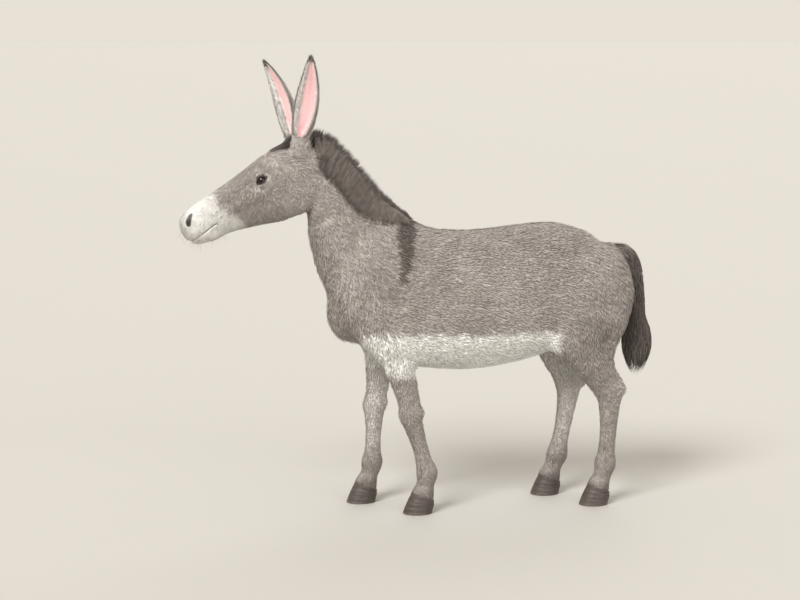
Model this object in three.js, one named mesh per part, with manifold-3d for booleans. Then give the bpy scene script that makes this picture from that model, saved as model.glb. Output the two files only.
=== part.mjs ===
// A life-size standing donkey: trunk, neck, head, ears, eyes, mane, forelock, tail and four stepping legs.
// Millimetres, +Z up, the animal faces -Y, its left side is +X, the soles stand on z = 0.
// The body is one flowing surface, worked out whole and then parted by thin cuts into its nodes.

import * as THREE from "three";
import { mergeVertices } from "three/addons/utils/BufferGeometryUtils.js";
import ManifoldModule from "manifold-3d";

const manifoldKit = await ManifoldModule();
manifoldKit.setup();
const { Manifold, Mesh: ManifoldMesh } = manifoldKit;

// ---------- driving sizes ----------

const CUT_GAP = 0.3;            // clear gap left wherever the body is parted
const FAR = 400;                // distance given back by a form that is nowhere near
const WELD = 0.02;              // corners of a finished solid nearer than this become one
const PROBE = 0.5;              // step used to feel the slope of the surface
const LIMB_REACH = { share: 1.4, beyond: 90 };   // a limb farther off than this isn't measured
const SWELL_REACH = 70;                          // nor a swelling farther off than its length and this

const HEAD_POLL = { f: 665, z: 1360 };   // top of the head between the ears
const HEAD_PITCH = -31;                  // degrees the face drops below level
const EYE = { along: 191, over: -61, side: 72, radius: 21 };

const EAR_LENGTH = 318;
const EAR_ROOT = { along: 10, over: -26, side: 46 };
const EAR_WALL = 9;

const MANE_HEIGHT = 62;
const MANE_FALL = 66;           // how far the mane hangs down the left of the neck
const MANE_HALF = 19;
const MANE_SHEET = 13;          // thickness of the hanging part

const STEP = { frontLeft: -118, frontRight: 55, hindLeft: 12, hindRight: 146 };
const KNEE_HEIGHT = 366;
const HOCK_HEIGHT = 408;
const CORONET = { toe: 80, heel: 46, half: 46 };
const HOOF = { topDepth: 42, topWidth: 39, soleWidth: 46, toeOut: 36, heelIn: 12, bevel: 4 };

// ---------- the forms of the body ----------
// Points are (x to the left, f forward, z up). A station adds half depth, half width and taper,
// the share by which the upper side is wider than the lower.

const pitch = THREE.MathUtils.degToRad(HEAD_PITCH);
const HEAD_ALONG = [Math.cos(pitch), Math.sin(pitch)];
const HEAD_OVER = [-Math.sin(pitch), Math.cos(pitch)];

// A place on the head: along it from the poll, over its profile line, and to the side.
function onHead(along, over, side = 0) {
  return [
    side,
    HEAD_POLL.f + along * HEAD_ALONG[0] + over * HEAD_OVER[0],
    HEAD_POLL.z + along * HEAD_ALONG[1] + over * HEAD_OVER[1],
  ];
}

// Trunk from the buttocks to the breast: f, back height, belly height, half width, taper.
const TRUNK_ROWS = [
  [-500, 965, 790, 86, -0.15],
  [-440, 1012, 700, 138, -0.2],
  [-335, 1045, 612, 178, -0.24],
  [-210, 1043, 560, 198, -0.22],
  [-80, 1028, 522, 210, -0.2],
  [50, 1020, 506, 212, -0.22],
  [180, 1028, 514, 196, -0.3],
  [285, 1044, 532, 168, -0.42],
  [385, 1022, 556, 143, -0.34],
  [465, 960, 612, 112, -0.15],
];

// Neck from between the shoulders to the poll: f, z, half depth, half width, taper.
const NECK_ROWS = [
  [350, 850, 176, 116, -0.25],
  [430, 935, 180, 110, -0.3],
  [490, 1026, 146, 93, -0.3],
  [521, 1098, 117, 79, -0.28],
  [553, 1168, 94, 70, -0.25],
  [590, 1232, 78, 64, -0.2],
  [628, 1285, 66, 58, -0.1],
];

// Head from the poll to the lips: along, profile, jaw line, half width, taper.
const HEAD_ROWS = [
  [-14, -26, -140, 48, 0],
  [42, -2, -206, 64, 0.08],
  [104, 8, -238, 77, 0.14],
  [166, 8, -236, 81, 0.2],
  [228, 2, -214, 74, 0.22],
  [290, -4, -192, 63, 0.18],
  [352, -8, -172, 55, 0.1],
  [414, -11, -156, 51, 0.04],
  [466, -15, -144, 51, 0],
  [494, -28, -131, 46, 0],
];

// Legs from the body to inside the hoof: x, f, z, half depth, half width, share of the step taken.
const FORE_ROWS = [
  [116, 350, 650, 88, 48, 0.05],
  [116, 340, 565, 66, 47, 0.15],
  [113, 335, 475, 51, 41, 0.32],
  [110, 335, 408, 43, 38, 0.46],
  [108, 340, 364, 45, 42, 0.54],
  [107, 336, 320, 38, 35, 0.62],
  [106, 331, 250, 31, 27, 0.76],
  [105, 328, 190, 33, 28, 0.87],
  [104, 326, 148, 41, 35, 0.95],
  [103, 334, 108, 34, 32, 0.98],
  [102, 345, 74, 42, 39, 1],
  [102, 352, 45, 44, 40, 1],
];
const HIND_ROWS = [
  [122, -350, 700, 128, 66, 0.1],
  [126, -350, 615, 92, 60, 0.25],
  [120, -385, 535, 66, 50, 0.42],
  [108, -438, 465, 50, 40, 0.6],
  [100, -475, 410, 50, 39, 0.72],
  [98, -480, 357, 41, 35, 0.78],
  [97, -478, 270, 34, 29, 0.86],
  [96, -474, 200, 34, 29, 0.93],
  [96, -470, 150, 42, 36, 0.97],
  [96, -460, 108, 34, 32, 1],
  [96, -448, 74, 42, 39, 1],
  [96, -440, 45, 44, 40, 1],
];
// Hamstrings and the cord down to the point of the hock.
const HAMSTRING_ROWS = [
  [56, -472, 850, 40, 38, 0],
  [88, -500, 790, 58, 52, 0],
  [104, -484, 690, 54, 46, 0.06],
  [112, -456, 600, 44, 36, 0.2],
  [108, -468, 525, 28, 24, 0.42],
  [102, -505, 470, 19, 15, 0.61],
  [99, -522, 428, 22, 19, 0.68],
];

// ---------- how a form is measured ----------

function spline(rows, per) {
  const reach = (a, b) => a.map((v, i) => 2 * v - b[i]);
  const all = [reach(rows[0], rows[1]), ...rows, reach(rows.at(-1), rows.at(-2))];
  const out = [];
  for (let i = 0; i + 3 < all.length; i += 1) {
    const [p0, p1, p2, p3] = all.slice(i, i + 4);
    for (let step = 0; step < per; step += 1) {
      const t = step / per;
      out.push(p1.map((v, k) => 0.5 * (2 * v + (p2[k] - p0[k]) * t
        + (2 * p0[k] - 5 * v + 4 * p2[k] - p3[k]) * t * t
        + (3 * v - p0[k] - 3 * p2[k] + p3[k]) * t ** 3)));
    }
  }
  out.push(rows.at(-1));
  return out;
}

// A limb: an egg-shaped section swept along a spine and closed by rounded caps.
// Stations are (x, f, z, half depth, half width, taper). Gives back a signed distance, less than 0 inside.
function limb(stations, { per = 4, power = 2, cap = 0.8 } = {}) {
  const rows = spline(stations, per);
  const spans = rows.slice(1).map((row, i) => [0, 1, 2].map((k) => row[k] - rows[i][k]));
  const lengths = spans.map((s) => s[0] ** 2 + s[1] ** 2 + s[2] ** 2);
  const tangents = rows.map((_, i) => {
    const a = rows[Math.max(0, i - 1)];
    const b = rows[Math.min(rows.length - 1, i + 1)];
    return new THREE.Vector3(b[0] - a[0], b[1] - a[1], b[2] - a[2]).normalize();
  });
  const reach = Math.max(...rows.map((row) => Math.max(row[3], row[4]))) * LIMB_REACH.share
    + LIMB_REACH.beyond;
  const low = [0, 1, 2].map((k) => Math.min(...rows.map((row) => row[k])) - reach);
  const high = [0, 1, 2].map((k) => Math.max(...rows.map((row) => row[k])) + reach);
  return (p) => {
    for (let k = 0; k < 3; k += 1) {
      if (p[k] < low[k] || p[k] > high[k]) return FAR;
    }
    let best = Infinity;
    let at = 0;
    let share = 0;
    for (let i = 0; i < spans.length; i += 1) {
      const d = [p[0] - rows[i][0], p[1] - rows[i][1], p[2] - rows[i][2]];
      const s = spans[i];
      const t = Math.min(1, Math.max(0, (d[0] * s[0] + d[1] * s[1] + d[2] * s[2]) / lengths[i]));
      const far = (d[0] - t * s[0]) ** 2 + (d[1] - t * s[1]) ** 2 + (d[2] - t * s[2]) ** 2;
      if (far < best) {
        best = far;
        at = i;
        share = t;
      }
    }
    const mix = (k) => rows[at][k] * (1 - share) + rows[at + 1][k] * share;
    const tangent = tangents[at].clone().lerp(tangents[at + 1], share).normalize();
    const back = new THREE.Vector3(0, -tangent.z, tangent.y).normalize();
    const aside = new THREE.Vector3().crossVectors(back, tangent);
    const q = new THREE.Vector3(p[0] - mix(0), p[1] - mix(1), p[2] - mix(2));
    const up = q.dot(back);
    const out = q.dot(aside);
    const atEnd = (at === 0 && share <= 0) || (at === spans.length - 1 && share >= 1);
    const past = atEnd ? q.dot(tangent) : 0;
    const deep = mix(3);
    const wide = mix(4) * (1 + mix(5) * Math.max(-1, Math.min(1, up / deep)));
    const round = (Math.abs(up / deep) ** power + Math.abs(out / wide) ** power) ** (2 / power);
    const n = Math.sqrt(Math.max(round + (past / (cap * Math.min(deep, wide))) ** 2, 1e-8));
    return Math.hypot(up, out, past) * (1 - 1 / n);
  };
}

// A muscle or a bony bump: an ellipsoid with half axes (side, along, over), pitched nose up by degrees.
function swell(centre, half, degrees = 0) {
  const turn = THREE.MathUtils.degToRad(degrees);
  const c = Math.cos(turn);
  const s = Math.sin(turn);
  const reach = Math.max(...half) + SWELL_REACH;
  return (p) => {
    const x = p[0] - centre[0];
    const f = p[1] - centre[1];
    const z = p[2] - centre[2];
    if (Math.max(Math.abs(x), Math.abs(f), Math.abs(z)) > reach) return FAR;
    const along = f * c + z * s;
    const over = z * c - f * s;
    const square = (x / half[0]) ** 2 + (along / half[1]) ** 2 + (over / half[2]) ** 2;
    const n = Math.sqrt(Math.max(square, 1e-8));
    return Math.hypot(x, along, over) * (1 - 1 / n);
  };
}

function blend(a, b, width) {
  const h = Math.max(width - Math.abs(a - b), 0) / width;
  return Math.min(a, b) - h * h * width * 0.25;
}

function onMidline(rows) {
  return rows.map(([f, top, bottom, wide, taper]) => [
    0, f, (top + bottom) / 2, (top - bottom) / 2, wide, taper]);
}

const SHOULDER_ROWS = [
  [42, 310, 940, 60, 34, 0],
  [80, 385, 860, 88, 48, 0],
  [96, 468, 765, 74, 50, 0],
];
const UPPER_ARM_ROWS = [
  [100, 468, 750, 62, 48, 0],
  [110, 400, 690, 84, 52, 0],
  [114, 345, 628, 66, 44, 0],
];

const BOTH_SIDES = [
  [limb(onMidline(TRUNK_ROWS), { per: 5, power: 2.2, cap: 0.55 }), 1],
  [limb(NECK_ROWS.map((row) => [0, ...row]), { per: 5, power: 2.1, cap: 0.5 }), 90],
  // withers, shoulder blade, upper arm, breast
  [swell([0, 335, 1032], [34, 110, 36], 25), 80],
  [limb(SHOULDER_ROWS, { cap: 0.7 }), 85],
  [limb(UPPER_ARM_ROWS, { cap: 0.7 }), 55],
  [swell([44, 505, 712], [46, 48, 78]), 50],
  // croup, thigh, stifle, point of the hip
  [swell([84, -400, 835], [72, 128, 110], 8), 90],
  [swell([104, -390, 760], [66, 122, 150], -8), 60],
  [swell([140, -296, 655], [42, 60, 78], 20), 55],
  [swell([104, -272, 960], [30, 52, 30]), 80],
];

const SKULL_ROWS = HEAD_ROWS.map(([along, top, jaw, wide, taper]) => [
  ...onHead(along, (top + jaw) / 2), (top - jaw) / 2, wide, taper]);
const CHEEKBONE_ROWS = [
  [...onHead(222, -96, 65), 8, 6, 0],
  [...onHead(272, -98, 55), 7, 6, 0],
  [...onHead(330, -96, 44), 6, 5, 0],
];

// Each form is followed by how widely it melts into those before it.
const HEAD_FORMS = [
  [limb(SKULL_ROWS, { per: 5, power: 2.3, cap: 0.6 }), 30],
  // cheek, brow, cheekbone ridge
  [swell(onHead(116, -150, 43), [35, 92, 86], HEAD_PITCH), 30],
  [swell(onHead(184, -34, 60), [28, 44, 26], HEAD_PITCH), 30],
  [limb(CHEEKBONE_ROWS, { cap: 1 }), 32],
  // nostril, upper lip, lower lip, chin, root of the ear
  [swell(onHead(477, -53, 32), [19, 31, 26], HEAD_PITCH), 24],
  [swell(onHead(484, -88), [44, 34, 36], HEAD_PITCH), 24],
  [swell(onHead(460, -128), [37, 38, 20], HEAD_PITCH), 22],
  [swell(onHead(424, -140), [30, 30, 18], HEAD_PITCH), 22],
  [swell(onHead(12, -34, 42), [30, 36, 36], HEAD_PITCH), 34],
];

const stepped = (rows, side, step) => rows.map(([x, f, z, deep, wide, share]) => [
  x * side, f + step * share, z, deep, wide, 0]);

function foreForms(side, step) {
  return [
    [limb(stepped(FORE_ROWS, side, step)), 45],
    [swell([side * 120, 296 + step * 0.12, 615], [26, 32, 44], 10), 40],
    [swell([side * 107, 309 + step * 0.56, 374], [17, 15, 20]), 26],
  ];
}

function hindForms(side, step) {
  return [[limb(stepped(HIND_ROWS, side, step)), 55], [limb(stepped(HAMSTRING_ROWS, side, step)), 40]];
}

const LEG_FORMS = [
  ...foreForms(1, STEP.frontLeft),
  ...foreForms(-1, STEP.frontRight),
  ...hindForms(1, STEP.hindLeft),
  ...hindForms(-1, STEP.hindRight),
];

// The whole body's surface is where this is 0.
function body(p) {
  const folded = [Math.abs(p[0]), p[1], p[2]];
  let out = FAR;
  for (const [form, width] of BOTH_SIDES) out = blend(out, form(folded), width);
  for (const [form, width] of LEG_FORMS) out = blend(out, form(p), width);
  for (const [form, width] of HEAD_FORMS) out = blend(out, form(folded), width);
  return out;
}

function slopeAt(p) {
  return [0, 1, 2].map((k) => {
    const a = [...p];
    const b = [...p];
    a[k] += PROBE;
    b[k] -= PROBE;
    return (body(a) - body(b)) / (2 * PROBE);
  });
}

// ---------- from a form to a closed mesh ----------

const SETTLE_ROUNDS = 3;
const SETTLE_SHARE = 0.4;       // most that a vertex moves in a round, as a share of its cell
const LEAST_SLOPE = 0.05;       // keeps a step short where the field is nearly flat
const CELL_RIM = 0.04;          // each vertex keeps this share of a cell away from its neighbours' cells

// Slides a point onto the surface, no farther than `most` a round.
function settle(p, most) {
  let q = p;
  for (let round = 0; round < SETTLE_ROUNDS; round += 1) {
    const g = slopeAt(q);
    const scale = body(q) / Math.max(g[0] ** 2 + g[1] ** 2 + g[2] ** 2, LEAST_SLOPE);
    const size = Math.abs(scale) * Math.hypot(...g);
    const held = scale * Math.min(1, most / Math.max(size, 1e-9));
    q = q.map((v, k) => v - g[k] * held);
  }
  return q;
}

// Closed skin of the body inside a box, one vertex to each grid cell the surface crosses.
function skinInBox(low, high, cell) {
  const count = [0, 1, 2].map((k) => Math.max(3, Math.round((high[k] - low[k]) / cell[k])) + 1);
  const place = (k, i) => low[k] + ((high[k] - low[k]) * i) / (count[k] - 1);
  const index = (i, j, k) => (i * count[1] + j) * count[2] + k;
  const value = new Float64Array(count[0] * count[1] * count[2]);
  const rim = (i, k) => i === 0 || i === count[k] - 1;
  for (let i = 0; i < count[0]; i += 1) {
    for (let j = 0; j < count[1]; j += 1) {
      for (let k = 0; k < count[2]; k += 1) {
        const v = body([place(0, i), place(1, j), place(2, k)]);
        value[index(i, j, k)] = rim(i, 0) || rim(j, 1) || rim(k, 2) ? Math.max(v, cell[0] / 2) : v;
      }
    }
  }
  const corners = [];
  for (const i of [0, 1]) for (const j of [0, 1]) for (const k of [0, 1]) corners.push([i, j, k]);
  const points = [];
  const number = new Map();
  for (let i = 0; i < count[0] - 1; i += 1) {
    for (let j = 0; j < count[1] - 1; j += 1) {
      for (let k = 0; k < count[2] - 1; k += 1) {
        const hits = [];
        for (const c of corners) {
          for (let axis = 0; axis < 3; axis += 1) {
            if (c[axis]) continue;
            const d = [...c];
            d[axis] = 1;
            const v0 = value[index(i + c[0], j + c[1], k + c[2])];
            const v1 = value[index(i + d[0], j + d[1], k + d[2])];
            if (v0 < 0 === v1 < 0) continue;
            const t = v0 / (v0 - v1);
            hits.push([0, 1, 2].map((a) => {
              const base = [i, j, k][a] + c[a];
              return a === axis ? place(a, base) * (1 - t) + place(a, base + 1) * t : place(a, base);
            }));
          }
        }
        if (!hits.length) continue;
        const mean = [0, 1, 2].map((a) => hits.reduce((sum, h) => sum + h[a], 0) / hits.length);
        const edge = [i, j, k].some((v, a) => v === 0 || v === count[a] - 2);
        const home = (a, t) => place(a, [i, j, k][a] + t);
        const spot = edge ? mean : settle(mean, Math.min(...cell) * SETTLE_SHARE);
        number.set(index(i, j, k), points.length);
        points.push(spot.map((v, a) => Math.min(home(a, 1 - CELL_RIM), Math.max(home(a, CELL_RIM), v))));
      }
    }
  }
  const faces = [];
  for (let axis = 0; axis < 3; axis += 1) {
    const u = (axis + 1) % 3;
    const v = (axis + 2) % 3;
    const at = [0, 0, 0];
    for (at[0] = 0; at[0] < count[0]; at[0] += 1) {
      for (at[1] = 0; at[1] < count[1]; at[1] += 1) {
        for (at[2] = 0; at[2] < count[2]; at[2] += 1) {
          if (at[axis] === count[axis] - 1 || !at[u] || !at[v]) continue;
          if (at[u] === count[u] - 1 || at[v] === count[v] - 1) continue;
          const next = [...at];
          next[axis] += 1;
          const inside = value[index(...at)] < 0;
          if (inside === value[index(...next)] < 0) continue;
          const ring = [[1, 1], [0, 1], [0, 0], [1, 0]].map(([du, dv]) => {
            const c = [...at];
            c[u] -= du;
            c[v] -= dv;
            return number.get(index(...c));
          });
          faces.push(inside ? ring : ring.reverse());
        }
      }
    }
  }
  return { points, faces: faces.flatMap((ring) => halves(ring, points)) };
}

// A four-sided face as two triangles, split along its shorter diagonal.
function halves([a, b, c, d], points) {
  const span = (m, n) => Math.hypot(...points[m].map((v, k) => v - points[n][k]));
  return span(a, c) <= span(b, d) ? [[a, b, c], [a, c, d]] : [[b, c, d], [b, d, a]];
}

// Rings of equally many points, closed at both ends by a fan.
function skinOfRings(rings) {
  const n = rings[0].length;
  const points = rings.flat();
  const faces = [];
  for (let r = 0; r + 1 < rings.length; r += 1) {
    for (let i = 0; i < n; i += 1) {
      const a = r * n + i;
      const b = r * n + ((i + 1) % n);
      faces.push(...halves([a, b, b + n, a + n], points));
    }
  }
  for (const [ring, flip] of [[0, true], [rings.length - 1, false]]) {
    const middle = [0, 1, 2].map((k) => rings[ring].reduce((sum, p) => sum + p[k], 0) / n);
    points.push(middle);
    for (let i = 0; i < n; i += 1) {
      const a = ring * n + i;
      const b = ring * n + ((i + 1) % n);
      faces.push(flip ? [b, a, points.length - 1] : [a, b, points.length - 1]);
    }
  }
  return { points, faces };
}

function volumeOf({ points, faces }) {
  let sum = 0;
  for (const [a, b, c] of faces) {
    const [p, q, r] = [points[a], points[b], points[c]];
    sum += p[0] * (q[1] * r[2] - q[2] * r[1]) + p[1] * (q[2] * r[0] - q[0] * r[2])
      + p[2] * (q[0] * r[1] - q[1] * r[0]);
  }
  return sum / 6;
}

// A solid for joining and cutting, in the animal's own (x, f, z).
function solid(skin) {
  const faces = volumeOf(skin) < 0 ? skin.faces.map(([a, b, c]) => [a, c, b]) : skin.faces;
  return new Manifold(new ManifoldMesh({
    numProp: 3,
    vertProperties: new Float32Array(skin.points.flat()),
    triVerts: new Uint32Array(faces.flat()),
  }));
}

// The same skin moved outward by a small gap, for cutting a neighbour clear of it.
function grown(skin, gap = CUT_GAP) {
  const sign = volumeOf(skin) < 0 ? -1 : 1;
  const normals = skin.points.map(() => new THREE.Vector3());
  for (const [a, b, c] of skin.faces) {
    const [p, q, r] = [a, b, c].map((i) => new THREE.Vector3(...skin.points[i]));
    const n = q.sub(p).cross(r.sub(p)).multiplyScalar(sign);
    for (const i of [a, b, c]) normals[i].add(n);
  }
  const points = skin.points.map((p, i) => normals[i].normalize().toArray().map((v, k) => p[k] + v * gap));
  return solid({ points, faces: skin.faces });
}

// A block with one face on the line from a to b, seen from the side, filling the side to its left.
function blockLeftOf(a, b, { gap = 0, over = 400, deep = 1500, sides = [-600, 600] } = {}) {
  const length = Math.hypot(b[0] - a[0], b[1] - a[1]);
  const run = [(b[0] - a[0]) / length, (b[1] - a[1]) / length];
  const left = [-run[1], run[0]];
  const spot = (x, s, d) => [x, a[0] + run[0] * s + left[0] * d, a[1] + run[1] * s + left[1] * d];
  const ring = (s) => [
    spot(sides[0], s, gap), spot(sides[1], s, gap), spot(sides[1], s, deep), spot(sides[0], s, deep)];
  return solid(skinOfRings([ring(-over), ring(length + over)]));
}

// ---------- where the body is parted ----------
// Lines in the side view, as (f, z) pairs.

const HEAD_CUT = [[622, 1105], [562, 1350]];
const NECK_CUT = [[572, 738], [312, 1066]];
const FORE_CUT = [[220, 494], [470, 574]];
const HIND_CUT = [[-480, 630], [-200, 532]];
const CUT_REACH = 110;          // how far a leg's cut runs past both ends of its line
const CUT_DEPTH = 700;

const half = CUT_GAP / 2;
const flip = ([a, b]) => [b, a];
const legCuts = (gap) => [
  blockLeftOf(...flip(FORE_CUT), { gap, over: CUT_REACH, deep: CUT_DEPTH }),
  blockLeftOf(...flip(HIND_CUT), { gap, over: CUT_REACH, deep: CUT_DEPTH }),
];

const TRUNK_CELL = [42, 58, 48];
const NECK_CELL = [30, 40, 40];
const HEAD_CELL = [23, 29, 29];
const LEG_CELL = [21, 23, 42];

const trunkSkin = skinInBox([-288, -700, 440], [288, 700, 1140], TRUNK_CELL);
const neckSkin = skinInBox([-192, 160, 620], [192, 760, 1420], NECK_CELL);
const headSkin = skinInBox([-135, 500, 960], [135, 1130, 1440], HEAD_CELL);

const [foreBlock, hindBlock] = legCuts(-half);
const trunk = solid(trunkSkin)
  .subtract(blockLeftOf(...flip(NECK_CUT), { gap: -half }))
  .subtract(foreBlock)
  .subtract(hindBlock);
const neck = solid(neckSkin)
  .intersect(blockLeftOf(...flip(NECK_CUT), { gap: half }))
  .subtract(blockLeftOf(...flip(HEAD_CUT), { gap: -half }));

const ball = (at, radius, detail) => {
  const round = mergeVertices(new THREE.IcosahedronGeometry(radius, detail).deleteAttribute("normal")
    .deleteAttribute("uv"), 1e-4);
  const spots = round.attributes.position;
  const points = Array.from({ length: spots.count }, (_, i) => [
    at[0] + spots.getX(i), at[1] + spots.getY(i), at[2] + spots.getZ(i)]);
  const list = Array.from(round.index.array);
  const faces = Array.from({ length: list.length / 3 }, (_, i) => list.slice(3 * i, 3 * i + 3));
  return { points, faces };
};
const EYE_DETAIL = 2;
const eyeSpots = [1, -1].map((side) => onHead(EYE.along, EYE.over, side * EYE.side));
const [eyeLeft, eyeRight] = eyeSpots.map((at) => solid(ball(at, EYE.radius, EYE_DETAIL)));
const sockets = eyeSpots.map((at) => solid(ball(at, EYE.radius + CUT_GAP * 2, EYE_DETAIL)));
const head = solid(headSkin)
  .intersect(blockLeftOf(...flip(HEAD_CUT), { gap: half }))
  .subtract(sockets[0])
  .subtract(sockets[1]);

// ---------- legs and hooves ----------

const level = (z) => [[-1000, z], [1200, z]];
const LEG_ROOM = 32;            // clear space round a leg inside its meshing box
const LEG_BOX = { inner: 40, outer: 205, low: -20, high: 700 };
const FOOT_BACK = 3;            // the hoof's middle behind the middle of the pastern
const FORE = { rows: FORE_ROWS, cut: FORE_CUT, joint: KNEE_HEIGHT };
const HIND = { rows: HIND_ROWS, cut: HIND_CUT, joint: HOCK_HEIGHT };
const LEGS = [
  { name: "front_left", side: 1, step: STEP.frontLeft, ...FORE },
  { name: "front_right", side: -1, step: STEP.frontRight, ...FORE },
  { name: "hind_left", side: 1, step: STEP.hindLeft, ...HIND },
  { name: "hind_right", side: -1, step: STEP.hindRight, ...HIND },
];

function legPieces({ side, rows, step, cut, joint }) {
  const free = rows.slice(1);
  const backs = free.map(([, f, , deep, , share]) => f + step * share - deep);
  const fronts = free.map(([, f, , deep, , share]) => f + step * share + deep);
  const low = [LEG_BOX.inner, Math.min(...backs) - LEG_ROOM, LEG_BOX.low];
  const high = [LEG_BOX.outer, Math.max(...fronts) + LEG_ROOM, LEG_BOX.high];
  const box = side > 0 ? [low, high] : [[-high[0], low[1], low[2]], [-low[0], high[1], high[2]]];
  const whole = solid(skinInBox(...box, LEG_CELL));
  const foot = free.at(-2);
  const centre = foot[1] + step - FOOT_BACK;
  const crown = [[centre - CORONET.half, CORONET.heel], [centre + CORONET.half, CORONET.toe]];
  const upper = whole
    .intersect(blockLeftOf(...flip(cut), { gap: half, over: CUT_REACH, deep: CUT_DEPTH }))
    .intersect(blockLeftOf(...level(joint), { gap: half }));
  const lower = whole
    .intersect(blockLeftOf(...flip(level(joint)), { gap: half }))
    .intersect(blockLeftOf(...crown, { gap: half }));
  return { upper, lower, hoof: hoofSolid(side * foot[0], centre, crown) };
}

const HOOF_POINTS = 16;

// A hoof wall from a flat sole up to the sloping coronet.
function hoofSolid(x, f, crown) {
  const slope = (crown[1][1] - crown[0][1]) / (crown[1][0] - crown[0][0]);
  const toe = f + HOOF.topDepth + HOOF.toeOut;
  const heel = f - HOOF.topDepth + HOOF.heelIn;
  const ring = (middle, deep, wide, height) => Array.from({ length: HOOF_POINTS }, (_, i) => {
    const turn = (2 * Math.PI * i) / HOOF_POINTS;
    const spot = middle + deep * Math.cos(turn);
    return [x + wide * Math.sin(turn), spot, height(spot)];
  });
  const top = (spot) => crown[0][1] + slope * (spot - crown[0][0]) - half;
  const middle = (toe + heel) / 2;
  const deep = (toe - heel) / 2;
  return solid(skinOfRings([
    ring(middle, deep - HOOF.bevel, HOOF.soleWidth - HOOF.bevel, () => 0),
    ring(middle, deep, HOOF.soleWidth, () => HOOF.bevel),
    ring(f, HOOF.topDepth, HOOF.topWidth, top),
  ]));
}

// ---------- ears ----------

const EAR_SHAPE = [ // share of the length, radius, half of the arc in degrees
  [-0.1, 27, 138],
  [0.02, 29, 136],
  [0.1, 34, 120],
  [0.2, 41, 102],
  [0.32, 47, 89],
  [0.45, 50, 80],
  [0.58, 48, 73],
  [0.7, 42, 68],
  [0.81, 33, 65],
  [0.9, 23, 63],
  [0.96, 14, 61],
  [1, 7, 60],
];
const EAR_ARC_POINTS = 5;
const EAR_HOLLOW = 0.35;        // least radius of the ear's inside, as a share of its outside's
const EAR_RIM = 0.97;           // the inside's share of the outside's arc
const EARS = [
  { side: 1, lean: [0.2, -0.1, 0.98], open: [0.8, 0.6, 0] },
  { side: -1, lean: [-0.2, 0.34, 0.92], open: [0.5, 0.87, 0] },
];

function earSkin({ side, lean, open }) {
  const root = new THREE.Vector3(...onHead(EAR_ROOT.along, EAR_ROOT.over, side * EAR_ROOT.side));
  const axis = new THREE.Vector3(...lean).normalize();
  const mouth = new THREE.Vector3(...open);
  mouth.addScaledVector(axis, -mouth.dot(axis)).normalize();
  const across = new THREE.Vector3().crossVectors(axis, mouth);
  return skinOfRings(EAR_SHAPE.map(([share, radius, degrees]) => {
    const arc = THREE.MathUtils.degToRad(degrees);
    const middle = root.clone().addScaledVector(axis, share * EAR_LENGTH);
    const spot = (r, turn) => middle.clone().addScaledVector(mouth, -r * Math.cos(turn))
      .addScaledVector(across, r * Math.sin(turn)).toArray();
    const turns = Array.from({ length: EAR_ARC_POINTS }, (_, i) => (
      arc * ((2 * i) / (EAR_ARC_POINTS - 1) - 1)));
    const inner = Math.max(radius - EAR_WALL, radius * EAR_HOLLOW);
    const outside = turns.map((t) => spot(radius, t));
    const inside = turns.reverse().map((t) => spot(inner, t * EAR_RIM));
    return [...outside, ...inside];
  }));
}

// ---------- mane and forelock ----------

function bisect(inside, outside, rounds = 24) {
  let [a, b] = [inside, outside];
  for (let i = 0; i < rounds; i += 1) {
    const middle = a.map((v, k) => (v + b[k]) / 2);
    if (body(middle) < 0) a = middle;
    else b = middle;
  }
  return a;
}

const CREST_FROM = 262;         // the mane runs from here, over the withers,
const CREST_TO = 622;           // to here, just behind the ears
const CREST_RINGS = 10;
const MANE_LIFT = 4;            // clearance of the mane's underside over the crest
const MANE_START = { tall: 15, fall: 20, edge: 0.6 };    // its sizes over the withers
const MANE_ENDS = { tall: 14, fall: 26 };                // what it loses again behind the ears
const UNDER_CREST = { z: 980, slope: 0.6 };              // a line that stays inside the neck
const OVER_CREST = 1500;
const FLANK_OUT = 260;
const crest = Array.from({ length: CREST_RINGS }, (_, i) => {
  const f = CREST_FROM + ((CREST_TO - CREST_FROM) * i) / (CREST_RINGS - 1);
  return bisect([0, f, UNDER_CREST.z + (f - CREST_FROM) * UNDER_CREST.slope], [0, f, OVER_CREST]);
});
const rise = (share, low, high) => low + (high - low) * THREE.MathUtils.smoothstep(share, 0, 0.5);

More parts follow.
